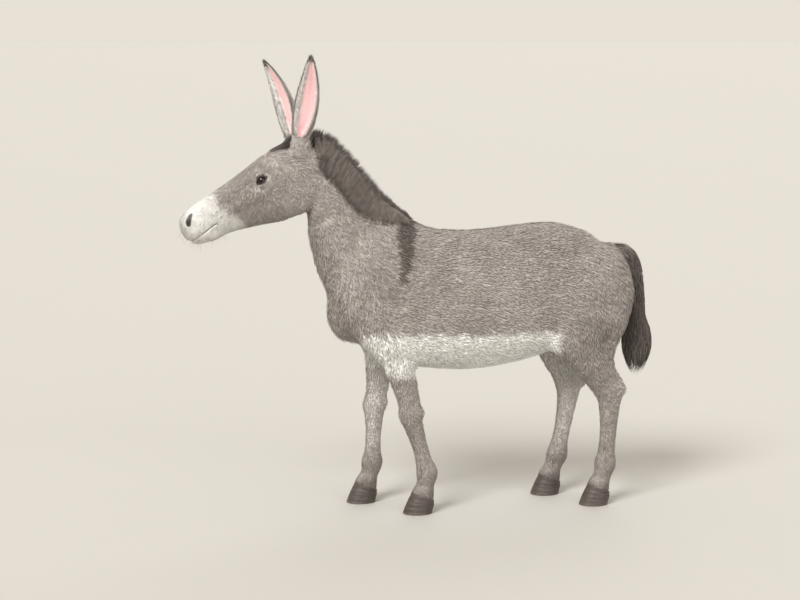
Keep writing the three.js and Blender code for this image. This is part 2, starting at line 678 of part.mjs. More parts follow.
function maneSkin() {
  return skinOfRings(crest.map((at, i) => {
    const share = i / (CREST_RINGS - 1);
    const a = crest[Math.max(0, i - 1)];
    const b = crest[Math.min(CREST_RINGS - 1, i + 1)];
    const size = Math.hypot(b[1] - a[1], b[2] - a[2]);
    const out = [-(b[2] - a[2]) / size, (b[1] - a[1]) / size];
    const spot = (x, d) => [x, at[1] + out[0] * d, at[2] + out[1] * d];
    const flank = (d) => bisect(spot(0, d), spot(FLANK_OUT, d))[0];
    const late = (from) => THREE.MathUtils.smoothstep(share, from, 1);
    const tall = rise(share, MANE_START.tall, MANE_HEIGHT) - MANE_ENDS.tall * late(0.85);
    const fall = rise(share, MANE_START.fall, MANE_FALL) - MANE_ENDS.fall * late(0.8);
    const edge = MANE_HALF * rise(share, MANE_START.edge, 1);
    const under = (x) => bisect(spot(x, -60), spot(x, 60));
    const lift = ([x, f, z]) => [x, f + out[0] * MANE_LIFT, z + out[1] * MANE_LIFT];
    // round the section: up the right side, over the top, down the left flank and back beneath
    return [
      lift(under(-edge)),
      spot(-edge - 3, 7),
      spot(-edge * 0.7, tall * 0.7),
      spot(0, tall),
      spot(edge * 0.8, tall * 0.8),
      spot(Math.max(edge * 1.5, flank(-4) + 5), 6),
      spot(flank(-fall * 0.5) + MANE_SHEET, -fall * 0.45),
      spot(flank(-fall) + MANE_SHEET * 0.6, -fall),
      spot(flank(-fall * 0.95) + MANE_LIFT, -fall * 0.95),
      spot(flank(-fall * 0.45) + MANE_LIFT, -fall * 0.45),
      lift(under(edge)),
      lift(under(0)),
    ];
  }));
}

const FORELOCK_ROWS = [ // along the head, half width, height over the brow
  [-36, 12, 44],
  [-14, 12, 42],
  [8, 14, 36],
  [34, 18, 30],
  [62, 22, 21],
  [88, 17, 14],
  [106, 6, 9],
];

const FORELOCK_SECTION = [ // share of the half width, and height over the profile line or of its top
  { side: -1, over: -16 },
  { side: -1.1, over: 6 },
  { side: -0.5 },
  { side: 0.5 },
  { side: 1.1, over: 6 },
  { side: 1, over: -16 },
];

function forelockSkin() {
  return skinOfRings(FORELOCK_ROWS.map(([along, wide, tall]) => (
    FORELOCK_SECTION.map(({ side, over = tall }) => onHead(along, over, side * wide)))));
}

// ---------- tail ----------

const TAIL_SPLIT = 690;
const DOCK_ROWS = [ // f, z, half width, half depth
  [-452, 918, 24, 22],
  [-505, 938, 30, 27],
  [-548, 925, 33, 30],
  [-577, 888, 34, 32],
  [-591, 838, 34, 33],
  [-597, 770, 34, 34],
  [-598, TAIL_SPLIT + half, 36, 37],
];
const TUFT_ROWS = [
  [-598, TAIL_SPLIT - half, 37, 38],
  [-600, 650, 46, 50],
  [-602, 605, 52, 60],
  [-603, 560, 50, 58],
  [-602, 515, 39, 45],
  [-600, 478, 22, 25],
  [-599, 455, 7, 8],
];
const DOCK_POINTS = 10;
const TUFT_POINTS = 13;
const TUFT_FOLDS = { count: 5, depth: 0.07, twist: 0.5 };

// A tail's section swept down its line; `folds` is the depth of the furrows down its side.
function hangingSkin(rows, around, folds) {
  return skinOfRings(rows.map(([f, z, wide, deep], i) => {
    const a = rows[Math.max(0, i - 1)];
    const b = rows[Math.min(rows.length - 1, i + 1)];
    const flat = i === rows.length - 1 || rows === TUFT_ROWS;
    const run = flat ? [0, -1] : [b[0] - a[0], b[1] - a[1]];
    const size = Math.hypot(...run);
    const out = [run[1] / size, -run[0] / size];
    return Array.from({ length: around }, (_, k) => {
      const turn = (2 * Math.PI * k) / around;
      const swing = 1 + folds * Math.cos(TUFT_FOLDS.count * turn + i * TUFT_FOLDS.twist);
      const d = deep * swing * Math.sin(turn);
      return [wide * swing * Math.cos(turn), f + out[0] * d, z + out[1] * d];
    });
  }));
}

// ---------- the parts, cut clear of each other ----------

const fleshes = [trunkSkin, neckSkin, headSkin].map((skin) => grown(skin));
const ears = EARS.map((ear) => earSkin(ear));
const [earLeft, earRight] = ears.map((skin) => solid(skin).subtract(fleshes[2]));
const clearOf = (piece, others) => others.reduce((left, other) => left.subtract(other), piece);
const grownEars = ears.flatMap((skin) => [solid(skin), grown(skin)]);
const maneForm = maneSkin();
const mane = clearOf(solid(maneForm), [...fleshes, ...grownEars]);
const forelock = clearOf(solid(forelockSkin()), [fleshes[1], fleshes[2], ...grownEars, grown(maneForm)]);
const dock = solid(hangingSkin(DOCK_ROWS, DOCK_POINTS, 0)).subtract(fleshes[0]);
const tuft = solid(hangingSkin(TUFT_ROWS, TUFT_POINTS, TUFT_FOLDS.depth));

const COLOURS = { coat: 0xa69c94, hair: 0x5e564f, hoof: 0x4a403a, eye: 0x1a1a18, ear: 0xb0a097 };

function node(name, piece, slot) {
  const { vertProperties, triVerts } = piece.getMesh();
  const spots = new Float32Array(vertProperties.length);
  for (let i = 0; i < spots.length; i += 3) {
    spots.set([vertProperties[i], -vertProperties[i + 1], vertProperties[i + 2]], i);
  }
  const turned = new THREE.BufferGeometry();
  turned.setAttribute("position", new THREE.BufferAttribute(spots, 3));
  const order = [];
  for (let i = 0; i < triVerts.length; i += 3) order.push(triVerts[i], triVerts[i + 2], triVerts[i + 1]);
  turned.setIndex(order);
  const geometry = mergeVertices(turned, WELD);
  const welded = geometry.index.array;
  const whole = [];
  for (let i = 0; i < welded.length; i += 3) {
    const [a, b, c] = [welded[i], welded[i + 1], welded[i + 2]];
    if (a !== b && b !== c && c !== a) whole.push(a, b, c);
  }
  geometry.setIndex(whole);
  geometry.computeVertexNormals();
  const look = { color: COLOURS[slot], roughness: 0.8, flatShading: true };
  const material = new THREE.MeshStandardMaterial(look);
  material.name = slot;
  const mesh = new THREE.Mesh(geometry, material);
  mesh.name = name;
  return mesh;
}

const donkey = new THREE.Group();
donkey.name = "donkey";
donkey.add(
  node("trunk", trunk, "coat"),
  node("neck", neck, "coat"),
  node("head", head, "coat"),
  node("ear_left", earLeft, "ear"),
  node("ear_right", earRight, "ear"),
  node("eye_left", eyeLeft, "eye"),
  node("eye_right", eyeRight, "eye"),
  node("mane", mane, "hair"),
  node("forelock", forelock, "hair"),
  node("tail", dock, "hair"),
  node("tail_tuft", tuft, "hair"),
);
for (const leg of LEGS) {
  const { upper, lower, hoof } = legPieces(leg);
  donkey.add(
    node(`leg_${leg.name}_upper`, upper, "coat"),
    node(`leg_${leg.name}_lower`, lower, "coat"),
    node(`hoof_${leg.name}`, hoof, "hoof"),
  );
}

// The origin is the middle of the whole box, at the floor.
const bounds = new THREE.Box3().setFromObject(donkey);
const middle = bounds.getCenter(new THREE.Vector3());
for (const mesh of donkey.children) mesh.geometry.translate(-middle.x, -middle.y, -bounds.min.z);

export default donkey;
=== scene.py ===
import math

import bpy
import numpy as np
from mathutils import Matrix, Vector


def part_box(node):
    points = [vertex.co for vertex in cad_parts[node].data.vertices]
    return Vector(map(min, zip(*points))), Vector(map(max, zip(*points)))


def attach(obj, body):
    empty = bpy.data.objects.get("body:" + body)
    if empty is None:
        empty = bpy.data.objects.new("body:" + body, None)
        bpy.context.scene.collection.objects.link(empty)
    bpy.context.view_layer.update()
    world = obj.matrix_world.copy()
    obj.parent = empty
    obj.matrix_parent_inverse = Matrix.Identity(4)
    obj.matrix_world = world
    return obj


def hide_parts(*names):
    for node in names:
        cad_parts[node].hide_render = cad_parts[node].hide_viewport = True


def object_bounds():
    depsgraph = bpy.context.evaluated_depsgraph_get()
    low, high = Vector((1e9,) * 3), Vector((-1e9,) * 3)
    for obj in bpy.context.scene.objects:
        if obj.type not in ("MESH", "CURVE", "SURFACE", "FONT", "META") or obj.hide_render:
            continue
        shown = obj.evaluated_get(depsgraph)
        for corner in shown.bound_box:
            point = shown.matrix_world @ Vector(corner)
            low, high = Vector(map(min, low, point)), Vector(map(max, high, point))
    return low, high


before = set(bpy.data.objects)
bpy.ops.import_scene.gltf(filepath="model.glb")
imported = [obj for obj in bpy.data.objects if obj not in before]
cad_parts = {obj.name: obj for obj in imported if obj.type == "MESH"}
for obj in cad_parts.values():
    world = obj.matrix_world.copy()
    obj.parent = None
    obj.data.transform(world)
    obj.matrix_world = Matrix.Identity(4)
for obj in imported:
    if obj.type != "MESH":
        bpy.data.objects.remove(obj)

# A grey donkey, life-size. Inside this script a point is (x, f, z) in millimetres, as in the CAD source:
# x to the animal's left, f forward, z up. row() turns it into the shared frame, in metres.
CAD_LOW, CAD_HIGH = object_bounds()
MM = 1000.0
FAR = 400.0                   # what a form gives back for a point that is nowhere near it
SIDES = {"left": 1, "right": -1}
LEFT, UP = np.array([1.0, 0, 0]), np.array([0, 0, 1.0])

# ---- where the head is, and what the CAD eyes say about the shift from f to y
POLL = np.array([0.0, 665.0, 1360.0])
PITCH = math.radians(-31)
ALONG = np.array([0.0, math.cos(PITCH), math.sin(PITCH)])
OVER = np.array([0.0, -math.sin(PITCH), math.cos(PITCH)])
EYE_ALONG, EYE_OVER, EYE_SIDE = 191.0, -61.0, 72.0


def on_head(along, over, side=0.0):
    """A point of the head: along it from the poll, over its profile line, and to the left."""
    return POLL + side * LEFT + along * ALONG + over * OVER


def head_share(p):
    """How far along the head and over its profile line each point is."""
    q = p - POLL
    return q @ ALONG, q @ OVER


EYE_LOW, EYE_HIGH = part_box("eye_left")
EYE_RADIUS = (EYE_HIGH.x - EYE_LOW.x) * MM / 2
SHIFT = (EYE_LOW.y + EYE_HIGH.y) * MM / 2 + on_head(EYE_ALONG, EYE_OVER)[1]


def row(p):
    """Points in the shared frame, in metres."""
    return np.stack([p[:, 0], SHIFT - p[:, 1], p[:, 2]], 1) / MM


# ---------------------------------------------------------------- field tools
def ramp(a, b, v):
    """0 where v is at a, 1 where it is at b, smooth between; a may be the larger."""
    t = np.clip((v - a) / (b - a), 0, 1)
    return t * t * (3 - 2 * t)


def bell(v, wide):
    return np.exp(-(v / wide) ** 2)


def between(a, b, w):
    """From a, where w is 0, to b, where it is 1."""
    return a + (b - a) * w


def unit(v):
    return v / np.maximum(np.linalg.norm(v, axis=-1, keepdims=True), 1e-9)


def dot(a, b):
    return (a * b).sum(-1)


def folded_left(p):
    """The same points with those of the right side mirrored to the left."""
    q = p.copy()
    q[:, 0] = np.abs(q[:, 0])
    return q


def mirrored(p, side):
    return p * np.array([side, 1.0, 1.0])


def spline(rows, i, t):
    """Catmull-Rom points at share t of span i of the rows; what follows the first axis goes along."""
    ends = np.concatenate([2 * rows[:1] - rows[1:2], rows, 2 * rows[-1:] - rows[-2:-1]])
    t = t.reshape((-1,) + (1,) * (rows.ndim - 1))
    a, b, c, d = (ends[i + j] for j in range(4))
    return .5 * (2 * b + (c - a) * t + (2 * a - 5 * b + 4 * c - d) * t * t + (3 * b - a - 3 * c + d) * t ** 3)


def curve_through(rows, per):
    """A smooth curve through the rows, with `per` samples to a span."""
    rows = np.asarray(rows, float)
    n = np.arange((len(rows) - 1) * per + 1)
    i = np.minimum(n // per, len(rows) - 2)
    return spline(rows, i, (n - i * per) / per)


LIMB_REACH, SWELL_REACH = 90, 70     # how far outside itself a form is still measured


def shell(n, size):
    """A distance from a form, from the squared share of its size that a point is out from its middle."""
    return size * (1 - 1 / np.sqrt(np.maximum(n, 1e-8)))


class Limb:
    """An egg-shaped section swept along a spine of (x, f, z, half depth, half width, taper)."""

    def __init__(self, rows, per=4, power=2.0, cap=0.8):
        q = curve_through([tuple(r) + (0,) * (6 - len(r)) for r in rows], per)
        self.c, self.r = q[:, :3], q[:, 3:6]
        self.power, self.cap = power, cap
        self.e = np.diff(self.c, axis=0)
        self.ee = (self.e ** 2).sum(1)
        self.t = unit(np.gradient(self.c, axis=0))
        reach = self.r[:, :2].max() * 1.4 + LIMB_REACH
        self.lo, self.hi = self.c.min(0) - reach, self.c.max(0) + reach

    def __call__(self, p):
        out = np.full(len(p), FAR)
        inside = ((p > self.lo) & (p < self.hi)).all(1)
        if inside.any():
            out[inside] = self.near(p[inside])
        return out

    def local(self, p):
        """Sample index, share along, sizes, tangent, and the offsets over, across and past the end."""
        best = np.full(len(p), 1e18)
        i = np.zeros(len(p), int)
        t = np.zeros(len(p))
        for k in range(len(self.e)):
            d = p - self.c[k]
            s = np.clip(d @ self.e[k] / self.ee[k], 0, 1)
            d -= s[:, None] * self.e[k]
            d2 = dot(d, d)
            m = d2 < best
            best[m], i[m], t[m] = d2[m], k, s[m]
        w = t[:, None]
        r = self.r[i] * (1 - w) + self.r[i + 1] * w
        tan = unit(self.t[i] * (1 - w) + self.t[i + 1] * w)
        dor = unit(np.stack([np.zeros(len(p)), -tan[:, 2], tan[:, 1]], 1))
        q = p - self.c[i] * (1 - w) - self.c[i + 1] * w
        end = ((i == 0) & (t <= 0)) | ((i == len(self.e) - 1) & (t >= 1))
        return i + t, r, tan, dot(q, dor), dot(q, np.cross(dor, tan)), np.where(end, dot(q, tan), 0.0)

    def near(self, p):
        _, r, _, v, l, w = self.local(p)
        a = r[:, 0]
        b = r[:, 1] * (1 + r[:, 2] * np.clip(v / a, -1, 1))
        k = self.power
        n = (np.abs(v / a) ** k + np.abs(l / b) ** k) ** (2 / k) + (w / (self.cap * np.minimum(a, b))) ** 2
        return shell(n, np.sqrt(v * v + l * l + w * w))


class Swell:
    """An ellipsoid at (x, f, z) with half axes (side, along, over), pitched nose up by degrees."""

    def __init__(self, centre, half, pitch=0.0):
        a = math.radians(pitch)
        self.c, self.h = np.array(centre, float), np.array(half, float)
        self.m = np.array([[1, 0, 0], [0, math.cos(a), math.sin(a)], [0, -math.sin(a), math.cos(a)]])
        self.reach = self.h.max() + SWELL_REACH

    def __call__(self, p):
        out = np.full(len(p), FAR)
        q = p - self.c
        near = (np.abs(q) < self.reach).all(1)
        if near.any():
            q = q[near] @ self.m.T
            out[near] = shell(((q / self.h) ** 2).sum(1), np.sqrt(dot(q, q)))
        return out


def join(a, b, k):
    """The smooth union of two fields, rounded over k."""
    h = np.maximum(k - np.abs(a - b), 0) / k
    return np.minimum(a, b) - h * h * k / 4


def cut(a, b, k):
    """Field a with the inside of field b taken away, its edge rounded over k."""
    return -join(-a, b, k)


GRADIENT_STEP = 0.5


def gradient(field, p):
    """How fast the field grows along x, f and z."""
    g = np.empty_like(p)
    for k in range(3):
        h = np.zeros(3)
        h[k] = GRADIENT_STEP
        g[:, k] = (field(p + h) - field(p - h)) / (2 * GRADIENT_STEP)
    return g


def settle(field, p, rounds=3, most=6.0):
    """Moves points onto the field's surface by Newton steps, none longer than `most`."""
    for _ in range(rounds):
        g = gradient(field, p)
        step = g * (field(p) / np.maximum(dot(g, g), 0.05))[:, None]
        size = np.linalg.norm(step, axis=1, keepdims=True)
        p = p - step * np.minimum(1, most / np.maximum(size, 1e-9))
    return p


# ---------------------------------------------------------------- the body's form, as in the CAD
HEAD_PITCH = math.degrees(PITCH)
STEP = {"front_left": -118, "front_right": 55, "hind_left": 12, "hind_right": 146}
TRUNK_ROWS = [  # f, top, bottom, half width, taper
    (-500, 965, 790, 86, -.15), (-440, 1012, 700, 138, -.2), (-335, 1045, 612, 178, -.24),
    (-210, 1043, 560, 198, -.22), (-80, 1028, 522, 210, -.2), (50, 1020, 506, 212, -.22),
    (180, 1028, 514, 196, -.3), (285, 1044, 532, 168, -.42), (385, 1022, 556, 143, -.34),
    (465, 960, 612, 112, -.15)]
NECK_ROWS = [  # f, z, half depth, half width, taper
    (350, 850, 176, 116, -.25), (430, 935, 180, 110, -.3), (490, 1026, 146, 93, -.3),
    (521, 1098, 117, 79, -.28), (553, 1168, 94, 70, -.25), (590, 1232, 78, 64, -.2),
    (628, 1285, 66, 58, -.1)]
HEAD_ROWS = [  # along, top, jaw, half width, taper
    (-14, -26, -140, 48, 0), (42, -2, -206, 64, .08), (104, 8, -238, 77, .14), (166, 8, -236, 81, .2),
    (228, 2, -214, 74, .22), (290, -4, -192, 63, .18), (352, -8, -172, 55, .1), (414, -11, -156, 51, .04),
    (466, -15, -144, 51, 0), (494, -28, -131, 46, 0)]
FORE_ROWS = [  # x, f, z, half depth, half width, share of the step
    (116, 350, 650, 88, 48, .05), (116, 340, 565, 66, 47, .15), (113, 335, 475, 51, 41, .32),
    (110, 335, 408, 43, 38, .46), (108, 340, 364, 45, 42, .54), (107, 336, 320, 38, 35, .62),
    (106, 331, 250, 31, 27, .76), (105, 328, 190, 33, 28, .87), (104, 326, 148, 41, 35, .95),
    (103, 334, 108, 34, 32, .98), (102, 345, 74, 42, 39, 1), (102, 352, 45, 44, 40, 1)]
HIND_ROWS = [
    (122, -350, 700, 128, 66, .1), (126, -350, 615, 92, 60, .25), (120, -385, 535, 66, 50, .42),
    (108, -438, 465, 50, 40, .6), (100, -475, 410, 50, 39, .72), (98, -480, 357, 41, 35, .78),
    (97, -478, 270, 34, 29, .86), (96, -474, 200, 34, 29, .93), (96, -470, 150, 42, 36, .97),
    (96, -460, 108, 34, 32, 1), (96, -448, 74, 42, 39, 1), (96, -440, 45, 44, 40, 1)]
HAMSTRING_ROWS = [
    (56, -472, 850, 40, 38, 0), (88, -500, 790, 58, 52, 0), (104, -484, 690, 54, 46, .06),
    (112, -456, 600, 44, 36, .2), (108, -468, 525, 28, 24, .42), (102, -505, 470, 19, 15, .61),
    (99, -522, 428, 22, 19, .68)]
TAIL_ROWS = [(-440, 925, 20), (-500, 930, 18), (-548, 920, 17), (-577, 882, 16), (-590, 835, 15),
             (-596, 770, 13), (-598, 690, 11), (-600, 620, 8)]  # f, z, radius of the fleshy dock

TRUNK = Limb([(0, f, (a + b) / 2, (a - b) / 2, w, e) for f, a, b, w, e in TRUNK_ROWS], 5, 2.2, .55)
NECK = Limb([(0,) + r for r in NECK_ROWS], 5, 2.1, .5)
HEAD = Limb([tuple(on_head(s, (a + b) / 2)) + ((a - b) / 2, w, e) for s, a, b, w, e in HEAD_ROWS],
            5, 2.3, .6)
DOCK = Limb([(0, f, z, r, r, 0) for f, z, r in TAIL_ROWS], 4, 2.0, .8)


def stepped(rows, side, step):
    """A leg's rows, each moved forward by its share of the step."""
    return [(side * x, f + step * k, z, a, b, 0) for x, f, z, a, b, k in rows]


def leg_facts(name):
    """Which end a leg is at, its side and its step."""
    end, side = name.split("_")
    return end, SIDES[side], STEP[name]


def leg_limb(name):
    end, side, step = leg_facts(name)
    return Limb(stepped(FORE_ROWS if end == "front" else HIND_ROWS, side, step))


LEGS = {name: leg_limb(name) for name in STEP}


def leg_forms(name):
    """One leg, with the hamstring of a hind leg or the elbow and knee of a foreleg."""
    end, side, step = leg_facts(name)
    if end == "hind":
        return [(LEGS[name], 55, False), (Limb(stepped(HAMSTRING_ROWS, side, step)), 40, False)]
    return [(LEGS[name], 45, False),
            (Swell((side * 120, 296 + step * .12, 615), (26, 32, 44), 10), 40, False),
            (Swell((side * 107, 309 + step * .56, 374), (17, 15, 20)), 26, False)]


def head_swell(along, over, side, half):
    return Swell(on_head(along, over, side), half, HEAD_PITCH)


# Each form is (field, rounding where it joins the others, on both sides or not).
BODY_FORMS = [
    (TRUNK, 1, True), (NECK, 90, True),
    # shoulder blade, upper arm and breast
    (Limb([(42, 310, 940, 60, 34), (80, 385, 860, 88, 48), (96, 468, 765, 74, 50)], cap=.7), 85, True),
    (Limb([(100, 468, 750, 62, 48), (110, 400, 690, 84, 52), (114, 345, 628, 66, 44)], cap=.7), 55, True),
    (Swell((44, 505, 712), (46, 48, 78)), 50, True),
    # croup, thigh, stifle and point of the hip
    (Swell((84, -400, 835), (72, 128, 110), 8), 90, True),
    (Swell((104, -390, 760), (66, 122, 150), -8), 60, True),
    (Swell((140, -296, 655), (42, 60, 78), 20), 55, True),
    (Swell((104, -272, 960), (30, 52, 30)), 80, True),
    # withers
    (Swell((0, 335, 1032), (34, 110, 36), 25), 80, True)]
CHEEKBONE_ROWS = [(*on_head(222, -96, 65), 8, 6), (*on_head(272, -98, 55), 7, 6),
                  (*on_head(330, -96, 44), 6, 5)]
HEAD_FORMS = [
    (HEAD, 30, True),
    (head_swell(116, -150, 43, (35, 92, 86)), 30, True),      # cheek
    (head_swell(184, -34, 60, (28, 44, 26)), 30, True),       # brow
    (Limb(CHEEKBONE_ROWS, cap=1), 32, True),                  # cheekbone
    (head_swell(477, -53, 32, (19, 31, 26)), 24, True),       # nostril
    (head_swell(484, -88, 0, (44, 34, 36)), 24, True),        # upper lip
    (head_swell(460, -128, 0, (37, 38, 20)), 22, True),       # lower lip
    (head_swell(424, -140, 0, (30, 30, 18)), 22, True),       # chin
    (head_swell(12, -34, 42, (30, 36, 36)), 34, True)]        # ear root
LEG_FORMS = [form for name in STEP for form in leg_forms(name)]


def joined(forms, p, start=None):
    """The smooth union of the forms and, where it is given, of a field worked out before."""
    folded = folded_left(p)
    out = np.full(len(p), FAR) if start is None else start
    for form, rounding, both in forms:
        out = join(out, form(folded if both else p), rounding)
    return out


def outline(p):
    """The field of the CAD's outline, without ears, mane and tail."""
    return joined(HEAD_FORMS, p, joined(LEG_FORMS, p, joined(BODY_FORMS, p)))


# ---------------------------------------------------------------- the skin, under the coat's depth
COAT_DEPTH = {"body": 9.0, "belly": 11.0, "head": 4.5, "muzzle": 2.0, "cannon": 5.0, "pastern": 3.0}
HEAD_FLOOR = 900              # no part of the head is lower than this


def coat_depth(p):
    """How far the skin lies under the outline."""
    s, h = head_share(p)
    z, deep = p[:, 2], COAT_DEPTH
    body = between(deep["body"], deep["belly"], ramp(640, 560, z))
    legs = between(deep["pastern"], deep["cannon"], ramp(90, 330, z))
    face = between(deep["head"], deep["muzzle"], ramp(330, 430, s))
    on_face = ramp(-30, 60, s) * ramp(-330, -270, h) * (z > HEAD_FLOOR)
    return between(between(legs, body, ramp(340, 560, z)), face, on_face)


EYE_OUT = unit(np.array([.95, .24, .20]))          # the left eye's axis
EYE_TO_NOSE = ALONG * math.cos(.10) - OVER * math.sin(.10)
EYE_TO_NOSE = unit(EYE_TO_NOSE - EYE_OUT * (EYE_TO_NOSE @ EYE_OUT))
EYE_UP = unit(np.cross(EYE_OUT, EYE_TO_NOSE))
EYE_UP = EYE_UP * np.sign(EYE_UP[2])
EYE_CENTRE = on_head(EYE_ALONG, EYE_OVER, EYE_SIDE)
EYE_SLIT = {"half": 21.0, "up": 13.0, "down": 9.4}   # along the ball's surface
LID = 3.0                 # thickness of the lids over the ball
EYE_BED = 2.4             # how far the skin dips under the eyeball between the lids
LID_BOW = 2.2             # how fully the lids bow between the corners of the eye
CREASE_OUT = 5.5          # how far outside the lids' edges their creases run
TEMPLE = head_swell(122, 2, 72, (16, 26, 18))
NOSTRIL = [(462, -34, 43, 4, 4), (473, -40, 46, 7, 7), (484, -51, 46, 10, 9), (488, -63, 41, 9, 8),
           (483, -73, 37, 6, 6), (474, -76, 39, 4, 4)]   # along, over, side, radii
NOSTRIL_HOLE = Limb([(*on_head(*r[:3]), *r[3:]) for r in NOSTRIL], cap=.8)
MOUTH = {"corner": 402, "front": 500, "over": -107, "drop": 9}


def eye_place(p):
    """Folded points about the eye: arcs to the nose and up, the way out, and the distance from its centre."""
    q = folded_left(p) - EYE_CENTRE
    c, r = q @ EYE_OUT, np.maximum(np.linalg.norm(q, axis=1), 1e-6)
    up = np.arcsin(np.clip(q @ EYE_UP / r, -1, 1))
    return EYE_RADIUS * np.arctan2(q @ EYE_TO_NOSE, c), EYE_RADIUS * up, c, r


def eye_slit(a, b):
    """Roughly the distance outside the opening between the lids, below zero inside it."""
    bow = 1 - np.abs(a / EYE_SLIT["half"]) ** LID_BOW
    return np.maximum(b - EYE_SLIT["up"] * bow, -EYE_SLIT["down"] * bow - b) * .8


def mouth_gap(p):
    """Height over the line where the lips meet, and how far from the corner of the mouth."""
    s, h = head_share(p)
    return h - MOUTH["over"] + MOUTH["drop"] * ramp(MOUTH["corner"], MOUTH["front"], s), s - MOUTH["corner"]


FACE_SPAN = (60, 560), (-280, 80)     # along the head and over its profile


def near_head(p):
    s, h = head_share(p)
    (back, front), (low, high) = FACE_SPAN
    return (s > back) & (s < front) & (h > low) & (h < high) & (p[:, 2] > HEAD_FLOOR)


def face_folds(p, d):
    """The lids, nostrils, lips and hollows of the head, worked into field d."""
    q = folded_left(p)
    a, b, c, r = eye_place(p)
    fold = eye_slit(a, b) - CREASE_OUT
    d = cut(d, TEMPLE(q), 26)
    d = join(d, np.where(c > -14, r - EYE_RADIUS - LID, FAR), 12)
    crease = 1.6 * bell(fold, 1.5) * (b > 0) + .9 * bell(fold, 1.8) * (b < 0)
    d = d + crease * ramp(34, 28, r) * (c > 0) * ramp(20, 12, np.abs(a))
    d = cut(d, NOSTRIL_HOLE(q), 5)
    gap, back = mouth_gap(p)
    return d + ramp(0, 10, back) * (4.6 * bell(gap, 1.9) + 1.8 * bell(gap, 6.5))


def plain_flesh(p):
    """The skin's field, without the ears and the face's folds."""
    return join(outline(p) + coat_depth(p), DOCK(p), 24)


def flesh(p):
    """The skin's field, without the ears."""
    d = plain_flesh(p)
    m = near_head(p)
    if m.any():
        d[m] = face_folds(p[m], d[m])
    return d


# ---------------------------------------------------------------- the ears
EAR_LENGTH = 316.0
EAR_ROOT = (10, -26, 46)      # along, over, side
EAR_SHAPE = np.array([        # share, outer radius, half arc in degrees
    (-.1, 27, 138), (.02, 29, 136), (.1, 34, 120), (.2, 41, 102), (.32, 47, 89), (.45, 50, 80),
    (.58, 48, 73), (.7, 42, 68), (.81, 33, 65), (.9, 23, 63), (.96, 14, 61), (1, 7, 60)], float)
EAR_SKIN = 2.2                # under the outline, on the outside
EAR_WALL = 5.2
EAR_CANAL = (.13, .05)        # the cup closes to a solid root between these shares
EARS = {"left": ((.2, -.1, .98), (.8, .6, 0)), "right": ((-.2, .34, .92), (.5, .87, 0))}


class Ear:
    """A tall cup, curled round its axis, open towards `mouth`."""

    def __init__(self, side):
        lean, mouth = EARS[side]
        self.root = on_head(*EAR_ROOT[:2], SIDES[side] * EAR_ROOT[2])
        self.axis = unit(np.array(lean))
        m = np.array(mouth, float)
        self.mouth = unit(m - self.axis * (m @ self.axis))
        self.across = np.cross(self.axis, self.mouth)
        shape = curve_through(EAR_SHAPE, 6)
        self.share, self.radius, self.arc = shape[:, 0], shape[:, 1] - EAR_SKIN, np.radians(shape[:, 2])
        self.arc += (math.pi - self.arc) * ramp(*EAR_CANAL, self.share)

    def radius_at(self, share):
        return np.interp(share, self.share, self.radius)

    def at(self, share, turn, inset=0.0):
        """A point of the wall; inset 0 is the outside."""
        radius = np.maximum(self.radius_at(share) - inset, 2.0)
        return (self.root + np.outer(share * EAR_LENGTH, self.axis)
                - np.outer(radius * np.cos(turn), self.mouth) + np.outer(radius * np.sin(turn), self.across))

    def half_arc(self, share):
        return np.interp(share, self.share, self.arc)

    def wall(self, share):
        """The wall is thin above and fills the whole root."""
        thin = EAR_WALL * (1 - .45 * ramp(.75, 1, share))
        return between(thin, self.radius_at(share) - 2, ramp(*EAR_CANAL, share))

    def place(self, p):
        """Share along the ear, turn round it and distance from its axis."""
        q = p - self.root
        c, a = q @ self.mouth, q @ self.across
        return (q @ self.axis) / EAR_LENGTH, np.arctan2(a, -c), np.hypot(a, c)

    def __call__(self, p):
        share, turn, rho = self.place(p)
        wall = self.wall(share)
        radius = self.radius_at(share) - wall / 2
        past = np.maximum(np.abs(turn) - self.half_arc(share), 0)
        gap = np.sqrt((rho - radius) ** 2 + 4 * rho * radius * np.sin(np.minimum(past, math.pi) / 2) ** 2)
        ends = np.maximum(self.share[0] - share, share - 1) * EAR_LENGTH
        return np.maximum(gap - wall / 2, ends)


EAR = {side: Ear(side) for side in SIDES}
EAR_RINGS, EAR_TURNS, PLUG_TURNS = 74, 25, 36


def ring_quads(m, n):
    """The faces between m rings of n points."""
    r, k = n * np.arange(m - 1)[:, None], np.arange(n)
    return np.stack([r + k, r + (k + 1) % n, r + n + (k + 1) % n, r + n + k], -1).reshape(-1, 4)


def ear_shell(ear):
    """A closed shell: rings of the outside, then the inside with its lengthwise folds."""
    share = ear.share[0] + (1 - ear.share[0]) * np.linspace(0, 1, EAR_RINGS) ** .92
    t = np.linspace(-1, 1, EAR_TURNS)
    points = []
    for s in share:
        arc = ear.half_arc(s)
        wall = ear.wall(s)
        fold = 1.7 * np.cos(t * 11) * ramp(.12, .3, s) * ramp(1, .7, s) * ramp(1, .8, np.abs(t))
        rim = wall * (1 - .35 * np.abs(t) ** 6 * ramp(.12, .2, s))
        out = ear.at(np.full(EAR_TURNS, s), t * arc * .995, (wall - rim) * .5)
        inn = ear.at(np.full(EAR_TURNS, s), t[::-1] * arc * .975, (rim - fold)[::-1])
        points.append(np.vstack([out, inn]))
    n = 2 * EAR_TURNS
    q = ring_quads(EAR_RINGS, n)
    faces = [q[:, [0, 2, 1]], q[:, [0, 3, 2]]]
    j = np.arange(EAR_TURNS - 1)
    for base, step in ((0, -1), ((EAR_RINGS - 1) * n, 1)):
        a, b, c, d = base + j, base + j + 1, base + n - 2 - j, base + n - 1 - j
        faces += [np.stack(tri, 1)[:, ::step] for tri in ((a, c, b), (a, d, c))]
    return np.vstack(points), np.vstack(faces)


